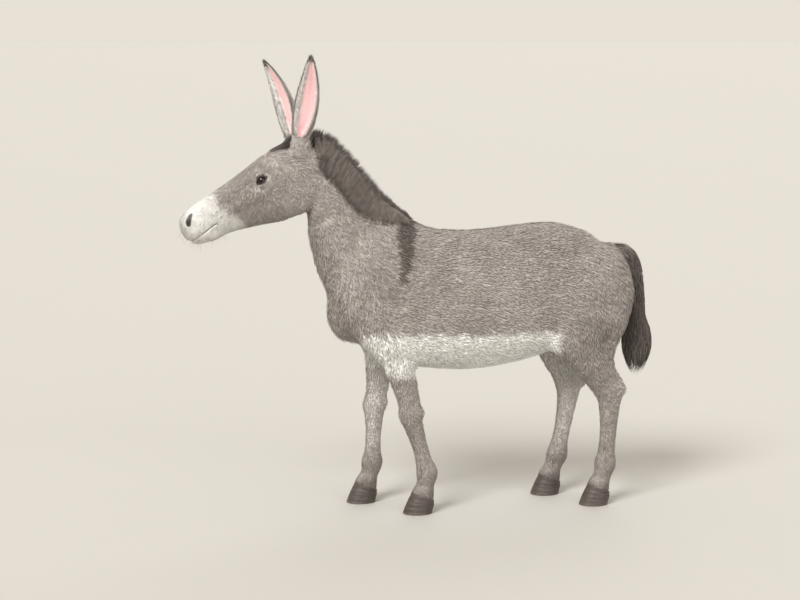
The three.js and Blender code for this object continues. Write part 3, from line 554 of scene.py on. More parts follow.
def halves(quads):
    return np.vstack([quads[:, [0, 1, 2]], quads[:, [0, 2, 3]]])


def tube(rings):
    """A closed tube through rings of equally many points, as points and triangles."""
    rings = np.asarray(rings)
    m, n = rings.shape[:2]
    k = np.arange(n)
    ends = [rings[0].mean(0), rings[-1].mean(0)]
    low = np.stack([np.full(n, m * n), (k + 1) % n, k], 1)
    high = np.stack([np.full(n, m * n + 1), (m - 1) * n + k, (m - 1) * n + (k + 1) % n], 1)
    return np.vstack([rings.reshape(-1, 3), ends]), np.vstack([halves(ring_quads(m, n)), low, high])


def ear_plug(ear):
    """A solid round root that closes the bottom of the ear's cup."""
    turn = np.linspace(0, 2 * math.pi, PLUG_TURNS, endpoint=False)
    p, tris = tube([ear.at(np.full(PLUG_TURNS, s), turn, inset)
                    for s, inset in zip(np.linspace(-.14, .075, 10), [-.5] * 8 + [.5, 6])])
    return p, tris[:, ::-1]


# ---------------------------------------------------------------- meshing a field
def spaced(*spans):
    """Grid lines over spans of (from, to, spacing)."""
    out = [spans[0][0]]
    for lo, hi, size in spans:
        out += list(np.linspace(lo, hi, max(1, round((hi - lo) / size)) + 1)[1:])
    return np.array(out)


CORNERS = [(i, j, k) for i in (0, 1) for j in (0, 1) for k in (0, 1)]     # of a cell of the grid


def corners(a, c):
    """The values at one of the eight corners of every cell."""
    return a[c[0]:a.shape[0] - 1 + c[0], c[1]:a.shape[1] - 1 + c[1], c[2]:a.shape[2] - 1 + c[2]]


COARSE, BATCH = 4, 300000     # grid lines to a coarse step, and points worked out at a time


def grid_values(field, axes):
    """The field on a grid, exact near its surface and rough elsewhere."""
    n = [len(a) for a in axes]
    ci = [np.unique(np.r_[np.arange(0, m, COARSE), m - 1]) for m in n]
    g = np.stack(np.meshgrid(*[a[c] for a, c in zip(axes, ci)], indexing="ij"), -1).reshape(-1, 3)
    rough = field(g).reshape([len(c) for c in ci])
    size = [np.diff(a[c]).max() for a, c in zip(axes, ci)]
    close = np.abs(rough) < .8 * math.sqrt(sum(s * s for s in size)) + 4
    lo = [np.searchsorted(c, np.arange(m), side="right") - 1 for c, m in zip(ci, n)]
    hi = [np.minimum(i + 1, len(c) - 1) for i, c in zip(lo, ci)]
    near = np.zeros(n, bool)
    for x in (lo[0], hi[0]):
        for y in (lo[1], hi[1]):
            for z in (lo[2], hi[2]):
                near |= close[np.ix_(x, y, z)]
    value = rough[np.ix_(*lo)].copy()
    where = np.argwhere(near)
    points = np.stack([axes[k][where[:, k]] for k in range(3)], 1)
    batches = np.array_split(points, 1 + len(points) // BATCH)
    value[tuple(where.T)] = np.concatenate([field(batch) for batch in batches])
    return value


def net_points(value, cell, axes):
    """For each cell, the mean of the places where the surface crosses its edges."""
    total, hits = np.zeros((len(cell), 3)), np.zeros(len(cell))
    for corner in CORNERS:
        for k in range(3):
            if corner[k]:
                continue
            i0, i1 = cell + corner, cell + np.where(np.arange(3) == k, 1, corner)
            v0, v1 = value[tuple(i0.T)], value[tuple(i1.T)]
            m = (v0 < 0) != (v1 < 0)
            t = np.where(m, v0 / np.where(m, v0 - v1, 1), 0)[:, None]
            p0, p1 = (np.stack([axes[q][i[:, q]] for q in range(3)], 1) for i in (i0, i1))
            total += np.where(m[:, None], p0 + (p1 - p0) * t, 0)
            hits += m
    return total / hits[:, None]


def net_quads(neg, number):
    """A quad round every grid edge that the surface crosses, from the numbers of the four cells there."""
    quads = []
    for k in range(3):
        u, v = (k + 1) % 3, (k + 2) % 3
        low = [slice(1, m - 1) for m in neg.shape]
        high = list(low)
        low[k], high[k] = slice(0, neg.shape[k] - 1), slice(1, neg.shape[k])
        lower, upper = neg[tuple(low)], neg[tuple(high)]
        base = np.argwhere(lower != upper)
        flip = upper[tuple(base.T)]
        ring = []
        for du, dv in ((0, 0), (1, 0), (1, 1), (0, 1)):
            q = base.copy()
            q[:, u] += du
            q[:, v] += dv
            ring.append(number[tuple(q.T)])
        quad = np.stack(ring, 1)
        quad[flip] = quad[flip][:, ::-1]
        quads.append(quad)
    return np.vstack(quads)


def surface_net(field, axes):
    """One vertex in each cell that the surface crosses, joined into triangles."""
    value = grid_values(field, axes)
    neg = value < 0
    count = sum(corners(neg, c).astype(np.int8) for c in CORNERS)
    active = (count > 0) & (count < 8)
    cell = np.argwhere(active)
    number = -np.ones(active.shape, np.int64)
    number[active] = np.arange(len(cell))
    return net_points(value, cell, axes), halves(net_quads(neg, number))


def refine(p, tris, size, place):
    """Halves each edge longer than size says; place sets the new points on the skin."""
    e = np.sort(np.vstack([tris[:, [0, 1]], tris[:, [1, 2]], tris[:, [2, 0]]]), 1)
    edges, which = np.unique(e, axis=0, return_inverse=True)
    which = which.reshape(3, -1).T
    a, b = p[edges[:, 0]], p[edges[:, 1]]
    split = np.linalg.norm(a - b, axis=1) > size((a + b) / 2)
    new = np.where(split, len(p) + np.cumsum(split) - 1, -1)
    middle = place((a[split] + b[split]) / 2)
    m = new[which]
    out = [tris[(m < 0).all(1)]]
    for k in range(3):
        i, j, l = k, (k + 1) % 3, (k + 2) % 3
        one = (m[:, i] >= 0) & (m[:, j] < 0) & (m[:, l] < 0)
        t, n = tris[one], m[one]
        out += [np.stack([t[:, i], n[:, i], t[:, l]], 1), np.stack([n[:, i], t[:, j], t[:, l]], 1)]
        two = (m[:, i] >= 0) & (m[:, j] >= 0) & (m[:, l] < 0)
        t, n = tris[two], m[two]
        out += [np.stack([n[:, i], t[:, j], n[:, j]], 1), np.stack([t[:, i], n[:, i], n[:, j]], 1),
                np.stack([t[:, i], n[:, j], t[:, l]], 1)]
    three = (m >= 0).all(1)
    t, n = tris[three], m[three]
    out += [np.stack([t[:, 0], n[:, 0], n[:, 2]], 1), np.stack([n[:, 0], t[:, 1], n[:, 1]], 1),
            np.stack([n[:, 2], n[:, 1], t[:, 2]], 1), n]
    return np.vstack([p, middle]), np.vstack(out)


def relax(p, tris, weight, rounds):
    """Draws each point towards the middle of its neighbours, by its weight."""
    i = np.concatenate([tris[:, 0], tris[:, 1], tris[:, 2]])
    j = np.concatenate([tris[:, 1], tris[:, 2], tris[:, 0]])
    count = np.maximum(np.bincount(i, minlength=len(p)), 1)[:, None]
    for _ in range(rounds):
        total = np.stack([np.bincount(i, p[j, k], len(p)) for k in range(3)], 1)
        p = p + (total / count - p) * weight[:, None]
    return p


# ---------------------------------------------------------------- Blender meshes
def mesh_object(name, p, faces):
    """A smooth mesh object from points in (x, f, z) millimetres and faces."""
    mesh = bpy.data.meshes.new(name)
    mesh.vertices.add(len(p))
    mesh.vertices.foreach_set("co", row(p).astype(np.float32).ravel())
    mesh.loops.add(faces.size)
    mesh.loops.foreach_set("vertex_index", faces[:, ::-1].astype(np.int32).ravel())
    mesh.polygons.add(len(faces))
    mesh.polygons.foreach_set("loop_start", (np.arange(len(faces)) * faces.shape[1]).astype(np.int32))
    mesh.polygons.foreach_set("use_smooth", np.ones(len(faces), bool))
    mesh.update(calc_edges=True)
    mesh.validate()
    thing = bpy.data.objects.new(name, mesh)
    bpy.context.scene.collection.objects.link(thing)
    return thing


def mesh_arrays(mesh):
    """Points in (x, f, z) millimetres and triangles of a Blender mesh."""
    mesh.calc_loop_triangles()
    co = np.empty(len(mesh.vertices) * 3, np.float32)
    mesh.vertices.foreach_get("co", co)
    co = co.reshape(-1, 3).astype(float) * MM
    tri = np.empty(len(mesh.loop_triangles) * 3, np.int32)
    mesh.loop_triangles.foreach_get("vertices", tri)
    return np.stack([co[:, 0], SHIFT - co[:, 1], co[:, 2]], 1), tri.reshape(-1, 3)[:, ::-1].astype(np.int64)


def keep_value(thing, name, values):
    """A number on each vertex, for the materials to read."""
    layer = thing.data.attributes.new(name, "FLOAT", "POINT")
    layer.data.foreach_set("value", np.asarray(values, np.float32))


def united(base, others):
    """The union of closed meshes, as points and triangles."""
    for other in others:
        m = base.modifiers.new("union", "BOOLEAN")
        m.operation, m.solver, m.object = "UNION", "MANIFOLD", other
    mesh = bpy.data.meshes.new_from_object(base.evaluated_get(bpy.context.evaluated_depsgraph_get()))
    p, tris = mesh_arrays(mesh)
    bpy.data.meshes.remove(mesh)
    for thing in [base] + others:
        bpy.data.objects.remove(thing)
    return p, tris


# ---------------------------------------------------------------- the skin mesh
SKIN_GRID = [spaced((-228, 228, 8.2)), spaced((-640, 480, 9.2), (480, 1110, 8.2)),
             spaced((4, 1000, 11.5), (1000, 1410, 8.2))]
EAR_BLEND = 20.0
EAR_SPACE = (500, 1200)       # ears are forward of this and above it
EAR_FOOT = 1290               # all of the skin over this height is an ear's or next to one


def ear_gap(p):
    """The distance from the nearer ear."""
    out = np.full(len(p), FAR)
    near = (p[:, 2] > EAR_SPACE[1]) & (p[:, 1] > EAR_SPACE[0])
    out[near] = np.minimum(EAR["left"](p[near]), EAR["right"](p[near]))
    return out


def placed(field, p, rounds, most):
    """Settles points on field, blended with the ears; what belongs to the ears alone stays as it is."""
    here = field(p) < ear_gap(p) + EAR_BLEND

    def both(q):
        return join(field(q), ear_gap(q), EAR_BLEND)

    out = p.copy()
    out[here] = settle(both, p[here], rounds, most)
    return out


RIM, RIM_OVER, LID_OVER = .75, .5, 1.4    # half width of the lids' edge, its height and theirs over the ball


def open_eyes(p):
    """Lays the skin between the lids under the eyeball, with a clean edge at the lids."""
    a, b, c, r = eye_place(p)
    o = eye_slit(a, b)
    near = (c > 0) & (r < EYE_RADIUS + 16)
    centre = np.where(p[:, :1] < 0, mirrored(EYE_CENTRE, -1), EYE_CENTRE)
    ray = unit(p - centre)
    depth = np.where(near & (np.abs(o) < RIM), EYE_RADIUS + RIM_OVER, EYE_RADIUS - EYE_BED)
    inside = near & (o < RIM)
    lid = near & ~inside & (r < EYE_RADIUS + LID_OVER)
    depth[lid] = EYE_RADIUS + LID_OVER
    moved = inside | lid
    out = p.copy()
    out[moved] = (centre + ray * depth[:, None])[moved]
    return out


GRAIN = {"body": 14.0, "head": 6.5, "ear root": 6.0, "fold": 3.2, "edge": 1.6}     # the skin's edge lengths
EAR_ROOT_SIZE = 70


def face_grain(p):
    """The edge length wanted at each place of the head."""
    s, h = head_share(p)
    head = (s > 20) & (h > -290) & (p[:, 2] > 950)
    size = np.where(head, GRAIN["head"], GRAIN["body"])
    a, b, c, r = eye_place(p)
    hole = np.abs(NOSTRIL_HOLE(folded_left(p)))
    gap, back = mouth_gap(p)
    gap = np.abs(gap)
    lips = head & (back > -4)
    folds = ((r < 40) & (c > -6)) | (lips & (gap < 12)) | (hole < 16)
    edges = ((r < 34) & (c > -2) & (np.abs(eye_slit(a, b)) < 5)) | (lips & (gap < 4.5)) | (hole < 6)
    size = np.where(edges, GRAIN["edge"], np.where(folds, GRAIN["fold"], size))
    for ear in EAR.values():
        root = np.linalg.norm(p - ear.root, axis=1) < EAR_ROOT_SIZE
        size = np.where(root, np.minimum(size, GRAIN["ear root"]), size)
    return size


def skin_mesh():
    """The whole hide as one closed mesh: body, legs, head, dock and ears."""
    p, tris = surface_net(plain_flesh, SKIN_GRID)
    p = settle(plain_flesh, p, rounds=2)
    shells = [mesh_object("ear", *shape(ear)) for ear in EAR.values() for shape in (ear_shell, ear_plug)]
    p, tris = united(mesh_object("base", p, tris), shells)
    for _ in range(3):
        p, tris = refine(p, tris, face_grain, lambda q: placed(plain_flesh, q, rounds=2, most=3.0))
    moved = near_head(p) | (p[:, 2] > EAR_FOOT)
    p[moved] = placed(flesh, p[moved], rounds=6, most=1.6)
    p, tris = refine(p, tris, face_grain, lambda q: placed(flesh, q, rounds=2, most=1.5))
    moved = near_head(p)
    p[moved] = placed(flesh, p[moved], rounds=2, most=1.0)
    _, _, c, r = eye_place(p)
    lid = ramp(32, 28, r) * (c > 0)
    p = relax(p, tris, .5 * lid, rounds=2)
    p = relax(p, tris, .55 * ramp(1.5, -1, NOSTRIL_HOLE(folded_left(p))), rounds=4)
    p[moved] = open_eyes(p[moved])
    return p, tris


# ---------------------------------------------------------------- soft noise, normals and places on the body
def waves(p, length, seed):
    """Smooth noise from -1 to 1, with features about `length` millimetres apart."""
    rng = np.random.default_rng(seed)
    out = np.zeros(len(p))
    for _ in range(7):
        k = unit(rng.normal(size=3)) * 2 * math.pi / (length * rng.uniform(.7, 1.5))
        out += np.sin(p @ k + rng.uniform(0, 6.28) + 1.3 * np.sin(p @ (k[[1, 2, 0]] * .6)))
    return out / 3.4


def point_normals(p, tris):
    """The mean normal of the faces round each point."""
    n = np.cross(p[tris[:, 1]] - p[tris[:, 0]], p[tris[:, 2]] - p[tris[:, 0]])
    out = np.stack([sum(np.bincount(tris[:, c], n[:, k], len(p)) for c in range(3)) for k in range(3)], 1)
    return unit(out)


REGIONS = ["head", "neck", "trunk", "tail"] + list(STEP) + ["ear_left", "ear_right"]
LIMBS = {"head": HEAD, "neck": NECK, "trunk": TRUNK, "tail": DOCK, **LEGS}


def region_gaps(p):
    """Each region's own field, one column each."""
    return np.stack([LIMBS[name](p) if name in LIMBS else EAR[name[4:]](p) for name in REGIONS], 1)


def unwrap(name, p):
    """Where points lie on the region's own unwrap: round it and along it, each 0 to 1."""
    if name in LIMBS:
        at, _, _, v, l, _ = LIMBS[name].local(p)
        return .5 + np.arctan2(l, v) / (2 * math.pi), at / len(LIMBS[name].e)
    share, turn, _ = EAR[name[4:]].place(p)
    return .5 + turn / (2 * math.pi), np.clip((share + .15) / 1.15, 0, 1)


# ---------------------------------------------------------------- markings
BELLY_EDGE = 668              # height of the pale belly's upper edge
BELLY_ENDS = (-250, 462)
BELLY_FOOT = 515              # the forearms are grey again under this height
MUZZLE_EDGE = 352             # along the head
EAR_FLOOR = 1300              # the ears' marks are all above this height
CROSS = {"at": 288, "lean": .16, "top": 1040, "foot": 855, "half widths": (14, 32)}     # the shoulder stripe
BACK_FLOOR, BACK_FRONT = 900, 330     # the stripe along the back is over and behind these


def shoulder_cross(p):
    """The dark stripe down each shoulder and along the back."""
    x, f, z = p.T
    top, foot = CROSS["top"], CROSS["foot"]
    middle = CROSS["at"] + (top - z) * CROSS["lean"]
    wide = between(*CROSS["half widths"], ramp(foot - 5, top, z)) + 3 * waves(p, 60, 5)
    down = ramp(wide + 7, wide - 4, np.abs(f - middle)) * ramp(foot - 17, foot + 17, z)
    back = ramp(17, 8, np.abs(x) + 2 * waves(p, 50, 6)) * (z > BACK_FLOOR) * (f < BACK_FRONT)
    return np.maximum(down, back * .9)


def belly_mark(p, rough):
    """The pale band along the belly and the flanks, with a ragged edge."""
    f, z = p[:, 1] + 6 * rough, p[:, 2] + 7 * rough
    back, front = BELLY_ENDS
    band = ramp(BELLY_EDGE + 13, BELLY_EDGE - 13, z) * ramp(back - 16, back + 14, f)
    return band * ramp(front + 14, front - 16, f) * ramp(BELLY_FOOT - 14, BELLY_FOOT + 14, z)


def ear_marks(p, rough, pale, dark):
    """Dark tips and edges and pale down inside the ears, over the marks found before."""
    inside = ear_inside(p)[0]
    for ear in EAR.values():
        share, turn, rho = ear.place(p)
        on = (share > .1) & (rho < 70) & (p[:, 2] > EAR_FLOOR)
        edge = np.abs(turn) / ear.half_arc(share)
        tip = ramp(.84, .93, share + .02 * rough)
        dark = np.where(on, np.maximum(tip, .75 * ramp(.84, .95, edge)), dark)
        pale = np.where(on, .8 * inside * ramp(.95, .85, edge), pale)
    return pale, dark


def pale_and_dark(p, n):
    """How pale and how dark the coat is at each point."""
    x, f, z = p.T
    s, h = head_share(p)
    a, b, c, r = eye_place(p)
    gap, back = mouth_gap(p)
    rough = waves(p, 42, 1) + .5 * waves(p, 17, 2)
    edge = MUZZLE_EDGE - 30 * ramp(-60, -150, h) + 7 * rough
    face = ramp(150, 200, s) * (z > HEAD_FLOOR) * ramp(-330, -280, h)
    inner_leg = ramp(.1, .8, -n[:, 0] * np.sign(x)) * ramp(720, 560, z) * ramp(150, 260, z)
    pale = np.maximum.reduce([
        .95 * face * ramp(edge - 20, edge + 22, s),                     # muzzle; a little less pale than the belly, as painted shade where the key lamp falls full on it
        belly_mark(p, rough),
        .55 * inner_leg,
        .38 * ramp(40, 27, r) * (c > -8) * (z > 1000)])                 # round the eye
    crest = (f > 240) & (f < 640) & (n[:, 2] > 0) & (z > 1000)
    dark = np.maximum.reduce([
        shoulder_cross(p),
        ramp(30, 18, np.abs(x)) * crest,                                # under the mane
        ramp(-535, -565, f) * ramp(600, 640, z) * (np.abs(x) < 60),     # tail
        .5 * ramp(100, 78, z),                                          # over the hooves
        ramp(5.5, 2.2, eye_slit(a, b)) * (r < 31) * (c > 0),            # edges of the lids
        .75 * ramp(3.2, 1.4, np.abs(gap)) * near_head(p) * (back > -3)])
    pale, dark = ear_marks(p, rough, pale, dark)
    return np.clip(pale, 0, 1), np.clip(dark, 0, 1)


def ear_inside(p):
    """How far a point is on the inside of an ear's cup, and how far it is bare and pink."""
    out, bare = np.zeros(len(p)), np.zeros(len(p))
    for ear in EAR.values():
        share, turn, rho = ear.place(p)
        deep = ear.radius_at(share) - rho - ear.wall(share) * .5
        on = (p[:, 2] > EAR_FLOOR) & (share > .03) & (share < 1) & (rho < 60)
        edge = np.abs(turn) / ear.half_arc(share)
        inside = on * ramp(0, 1, deep) * ramp(1.02, .96, edge)
        middle = ramp(.64, .44, edge + .05 * waves(p, 26, 7)) * ramp(.97, .86, share)
        out, bare = np.maximum(out, inside), np.maximum(bare, inside * middle)
    return out, bare


# ---------------------------------------------------------------- the lie and size of the coat
WHORL = on_head(128, 10)
LIE_BLEND = 16


def lie_of_coat(p, gaps):
    """The way the hair points, blended between the regions near each point."""
    x, f = p[:, 0], p[:, 1]
    weight = np.exp(-(gaps - gaps.min(1, keepdims=True)) / LIE_BLEND)
    chest, rump = ramp(320, 450, f), ramp(-300, -450, f)
    ways = {
        "head": unit(p - WHORL) + np.array([0, 0, -.25]),
        "neck": np.broadcast_to([0, -.55, -.83], p.shape),
        "trunk": np.stack([0 * x, -1 + 0 * f, -.38 - 2.2 * chest - 1.7 * rump], 1),
        "tail": unit(np.stack([0 * x, -ramp(-600, -480, f), -ramp(-500, -590, f) - .1], 1)),
    }
    out = np.zeros_like(p)
    for k, name in enumerate(REGIONS):
        way = ways.get(name)
        if way is None:
            way = EAR[name[4:]].axis if name.startswith("ear") else np.array([0, -.12, -1.0])
        out += weight[:, k:k + 1] * unit(np.broadcast_to(way, p.shape))
    return unit(out)


LEG_HAIR = [60, 120, 330, 460, 600], [8, 9.5, 13, 19, 27]               # lengths at heights
FACE_HAIR = [-20, 40, 180, 330, 420, 520], [24, 17, 13, 11, 7, 5.5]     # lengths along the head
POLL_HAIR, EAR_HAIR = (1330, 13), (1340, 10.5)                          # lengths over heights
HAIR_WIDTH = [5, 9, 13, 20, 27], [1.3, 1.6, 2.0, 2.7, 3.3]              # widths at lengths


def wide_at(length):
    return np.interp(length, *HAIR_WIDTH)


def coat_size(p, gaps):
    """Length and width of the tufts in millimetres."""
    s, h = head_share(p)
    z = p[:, 2]
    head = (np.argmin(gaps, 1) == 0) | ((z > HEAD_FLOOR) & (s > 10) & (h > -290))
    length = np.where(head, np.interp(s, *FACE_HAIR), np.interp(z, *LEG_HAIR))
    (poll, poll_hair), (ear, ear_hair_length) = POLL_HAIR, EAR_HAIR
    length = np.where(z > poll, poll_hair, length)
    length = np.where((gaps[:, -2:].min(1) < 3) & (z > ear), ear_hair_length, length)
    return length, wide_at(length)


def strands(paths, across, wide, high):
    """Closed three-sided locks along paths (count, points, 3); across is each lock's flat side."""
    n, k, _ = paths.shape
    along = unit(np.gradient(paths, axis=1))
    flat = unit(across[:, None, :] - along * dot(along, across[:, None, :])[..., None])
    up = np.cross(along, flat)
    c = paths[:, :-1]
    rings = np.stack([c - flat[:, :-1] * wide[..., None], c + flat[:, :-1] * wide[..., None],
                      c + up[:, :-1] * high[..., None]], 2)
    p = np.concatenate([rings.reshape(n, -1, 3), paths[:, -1:]], 1)
    faces = []
    for j in range(k - 2):
        for a, b in ((0, 1), (1, 2), (2, 0)):
            a0, b0 = 3 * j + a, 3 * j + b
            faces += [(a0, b0, b0 + 3), (a0, b0 + 3, a0 + 3)]
    last, tip = 3 * (k - 2), 3 * (k - 1)
    faces += [(last, last + 1, tip), (last + 1, last + 2, tip), (last + 2, last, tip), (0, 2, 1)]
    size = tip + 1
    tris = (np.array(faces)[None] + (np.arange(n) * size)[:, None, None]).reshape(-1, 3)
    share = np.append(np.repeat(np.arange(k - 1), 3), k - 1) / (k - 1)
    return p.reshape(-1, 3), tris, size, np.tile(share, n)


UV_PATCH = .003               # size of a tuft's patch on the unwrap


def coat_piece(name, blocks, slot, *replaced):
    """One mesh of locks from blocks of (points, triangles, points per lock, share, values, u, v)."""
    base = np.cumsum([0] + [len(block[0]) for block in blocks])
    thing = mesh_object(name, np.vstack([block[0] for block in blocks]),
                        np.vstack([block[1] + start for block, start in zip(blocks, base)]))
    keep_value(thing, "tip", np.concatenate([block[3] for block in blocks]))
    for key in ("pale", "dark", "shade"):
        keep_value(thing, key, np.concatenate([np.repeat(block[4][key], block[2]) for block in blocks]))
    corner = []
    for p, _, size, share, _, u, v in blocks:
        across = (np.arange(len(p)) % size % 3 - 1) * .5
        corner.append(np.stack([np.repeat(u, size) + across * UV_PATCH,
                                np.repeat(v, size) + (share - .5) * UV_PATCH], 1))
    uv = np.clip(np.vstack(corner), 0, 1).astype(np.float32)
    loops = np.empty(len(thing.data.loops), np.int32)
    thing.data.loops.foreach_get("vertex_index", loops)
    thing.data.uv_layers.new(name="OFBake").data.foreach_set("uv", uv[loops].ravel())
    finished(thing, MATERIALS[slot], slot, *replaced)


def finished(thing, material, slot, *replaced):
    """Gives a piece its material and the body it rides on, and hides the nodes that it stands for; slot is
    not used.
    """
    thing.data.materials.append(material)
    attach(thing, "root")
    if replaced:
        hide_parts(*replaced)


# ---------------------------------------------------------------- materials
def scaled(colour, share):
    return tuple(share * c for c in colour)


GREY = (.483, .433, .403)
GREY_DEEP = (.337, .297, .268)
CREAM = (.98, .955, .91)
DARK = (.098, .079, .066)
# dark bare skin, also used as painted shade round the nostrils' rims
BLACK_SKIN_AND_RIM_SHADE = (.024, .018, .015)
PINK = (.80, .49, .49)
HORN = (.044, .033, .0275)
HORN_WORN = (.105, .086, .070)
PUPIL, IRIS = (.0025, .0022, .002), ((.020, .009, .005), (.009, .005, .003))
IRIS_EDGE, EYE_WHITE = (.010, .007, .005), (.16, .10, .075)


NOISE_ROUGHNESS = .55


class Shader:
    """A small helper round one material's nodes."""

    def __init__(self, name, roughness=.7, **sockets):
        self.material = bpy.data.materials.new(name)
        self.material.use_nodes = True
        self.tree = self.material.node_tree
        self.surface = self.tree.nodes["Principled BSDF"]
        self.surface.inputs["Roughness"].default_value = roughness
        for key, value in sockets.items():
            self.surface.inputs[key.replace("_", " ")].default_value = value

    def node(self, kind, **settings):
        n = self.tree.nodes.new("ShaderNode" + kind)
        for key, value in settings.items():
            setattr(n, key, value)
        return n

    def plug(self, socket, value):
        if isinstance(value, bpy.types.NodeSocket):
            self.tree.links.new(value, socket)
        elif isinstance(value, tuple) and len(value) == 3 and socket.type == "RGBA":
            socket.default_value = (*value, 1)
        else:
            socket.default_value = value

    def value(self, name):
        return self.node("Attribute", attribute_name=name).outputs["Fac"]

    def math(self, operation, a, b=0.0, c=None):
        n = self.node("Math", operation=operation)
        self.plug(n.inputs[0], a)
        self.plug(n.inputs[1], b)
        if c is not None:
            self.plug(n.inputs[2], c)
        return n.outputs[0]

    def mix(self, share, a, b, blend="MIX"):
        n = self.node("Mix", data_type="RGBA", blend_type=blend, clamp_result=False)
        self.plug(n.inputs[0], share)
        self.plug(n.inputs[6], a)
        self.plug(n.inputs[7], b)
        return n.outputs[2]

    def noise(self, scale, detail=3.0, stretch=None):
        """Noise of `scale` features to the metre, stretched along an axis where its factor is small."""
        at = self.node("TexCoord").outputs["Object"]
        if stretch:
            turn = self.node("Mapping")
            self.plug(turn.inputs["Vector"], at)
            turn.inputs["Scale"].default_value = stretch
            at = turn.outputs[0]
        n = self.node("TexNoise")
        n.inputs["Scale"].default_value = scale
        n.inputs["Detail"].default_value = detail
        n.inputs["Roughness"].default_value = NOISE_ROUGHNESS
        self.plug(n.inputs["Vector"], at)
        return n.outputs["Fac"]

    def span(self, value, a, b, low=0.0, high=1.0):
        n = self.node("MapRange", interpolation_type="SMOOTHSTEP")
        self.plug(n.inputs["Value"], value)
        for key, v in zip(("From Min", "From Max", "To Min", "To Max"), (a, b, low, high)):
            n.inputs[key].default_value = v
        return n.outputs["Result"]

    def bump(self, height, strength, distance):
        n = self.node("Bump")
        n.inputs["Strength"].default_value = strength
        n.inputs["Distance"].default_value = distance
        self.plug(n.inputs["Height"], height)
        self.plug(self.surface.inputs["Normal"], n.outputs[0])

    def paint(self, colour):
        self.plug(self.surface.inputs["Base Color"], colour)
        return self.material


def coat_colour(m):
    """Grey, pale and dark hair, clouded over hands' widths and again over fingers' widths."""
    cloud = m.span(m.noise(5.5, 3), .36, .66)
    fleck = m.span(m.noise(60, 2), .3, .7)
    grey = m.mix(m.math("MULTIPLY_ADD", fleck, .35, m.math("MULTIPLY", cloud, .65)), GREY_DEEP, GREY)
    pale = m.mix(fleck, CREAM, scaled(CREAM, .86))
    dark = m.mix(fleck, DARK, scaled(DARK, 1.55))
    return m.mix(m.value("dark"), m.mix(m.value("pale"), grey, pale), dark)


def hair_material(name, light=1.0):
    """Hair in the coat's colours, with painted shade darkening it towards its roots, and uneven from lock to
    lock.
    """
    m = Shader(name, .62, Sheen_Weight=.18, Sheen_Roughness=.45, Specular_IOR_Level=.32)
    tone = m.math("MULTIPLY_ADD", m.value("shade"), .09, .9 * light)
    # painted shade: darker at the roots, where the coat shades itself, and lighter at the tips
    tone = m.math("MULTIPLY", tone, m.span(m.value("tip"), 0, .9, .86, 1.09))
    grain = m.node("CombineColor")
    for k in range(3):
        m.plug(grain.inputs[k], tone)
    return m.paint(m.mix(1.0, coat_colour(m), grain.outputs[0], "MULTIPLY"))


def skin_material():
    """Short hair as grain over the coat's colours, darkened as painted shade under the tufts; pink skin in
    the ears; bare dark skin at eyes, lips and nostrils, with painted shade round the nostrils' rims.
    """
    m = Shader("hide", .58, Sheen_Weight=.10, Specular_IOR_Level=.35)
    grain, pores = m.noise(420, 2, (1, .35, .45)), m.noise(190, 3)
    # painted shade: the hide shows under and between the tufts, so the coat's colours are darkened on it to
    # the tufts' shaded tone
    colour = m.mix(1.0, coat_colour(m), (.84, .84, .84), "MULTIPLY")
    colour = m.mix(m.span(grain, .35, .65, .0, .14), colour, scaled(GREY, .4))
    inner = m.mix(m.span(pores, .3, .7), PINK, scaled(PINK, .82))
    colour = m.mix(m.value("pink"), colour, inner)
    # bare dark skin of the lids, lips and nostrils, with painted shade round the nostrils' rims
    colour = m.mix(m.value("bare"), colour, BLACK_SKIN_AND_RIM_SHADE)
    rough = m.math("MULTIPLY_ADD", m.value("bare"), -.16, .60)
    m.plug(m.surface.inputs["Roughness"], rough)
    m.bump(m.math("ADD", m.math("MULTIPLY", grain, .6), m.math("MULTIPLY", pores, .5)), .55, .0012)
    return m.paint(colour)


def hoof_material():
    """Dark horn with growth rings and fine upright grain, paler where it is worn."""
    m = Shader("horn", .42, Specular_IOR_Level=.45)
    rings = m.noise(46, 4, (.25, .25, 5.5))
    grain = m.noise(160, 3, (5, 5, .35))
    colour = m.mix(m.span(rings, .3, .7), scaled(HORN, .62), scaled(HORN, 1.5))
    colour = m.mix(m.span(grain, .45, .75, 0, .5), colour, scaled(HORN, 2.3))
    colour = m.mix(m.value("worn"), colour, HORN_WORN)
    m.plug(m.surface.inputs["Roughness"], m.span(grain, .3, .7, .36, .6))
    m.bump(m.math("ADD", rings, m.math("MULTIPLY", grain, .4)), .5, .0012)
    return m.paint(colour)


def eye_material():
    """A dark eye: a black, level pupil in a deep brown iris, dark again at its edge."""
    m = Shader("cornea", .04, IOR=1.376)
    pupil, iris = m.value("pupil"), m.value("iris")
    streaks = m.noise(900, 2)
    colour = m.mix(m.span(pupil, .85, 1.15), PUPIL, m.mix(m.span(streaks, .3, .7), *IRIS))
    colour = m.mix(m.span(iris, .86, 1.0), colour, IRIS_EDGE)
    return m.paint(m.mix(m.span(iris, 1.05, 1.2), colour, EYE_WHITE))


MATERIALS = {"coat": hair_material("coat_hair"), "hair": hair_material("long_hair", .95)}


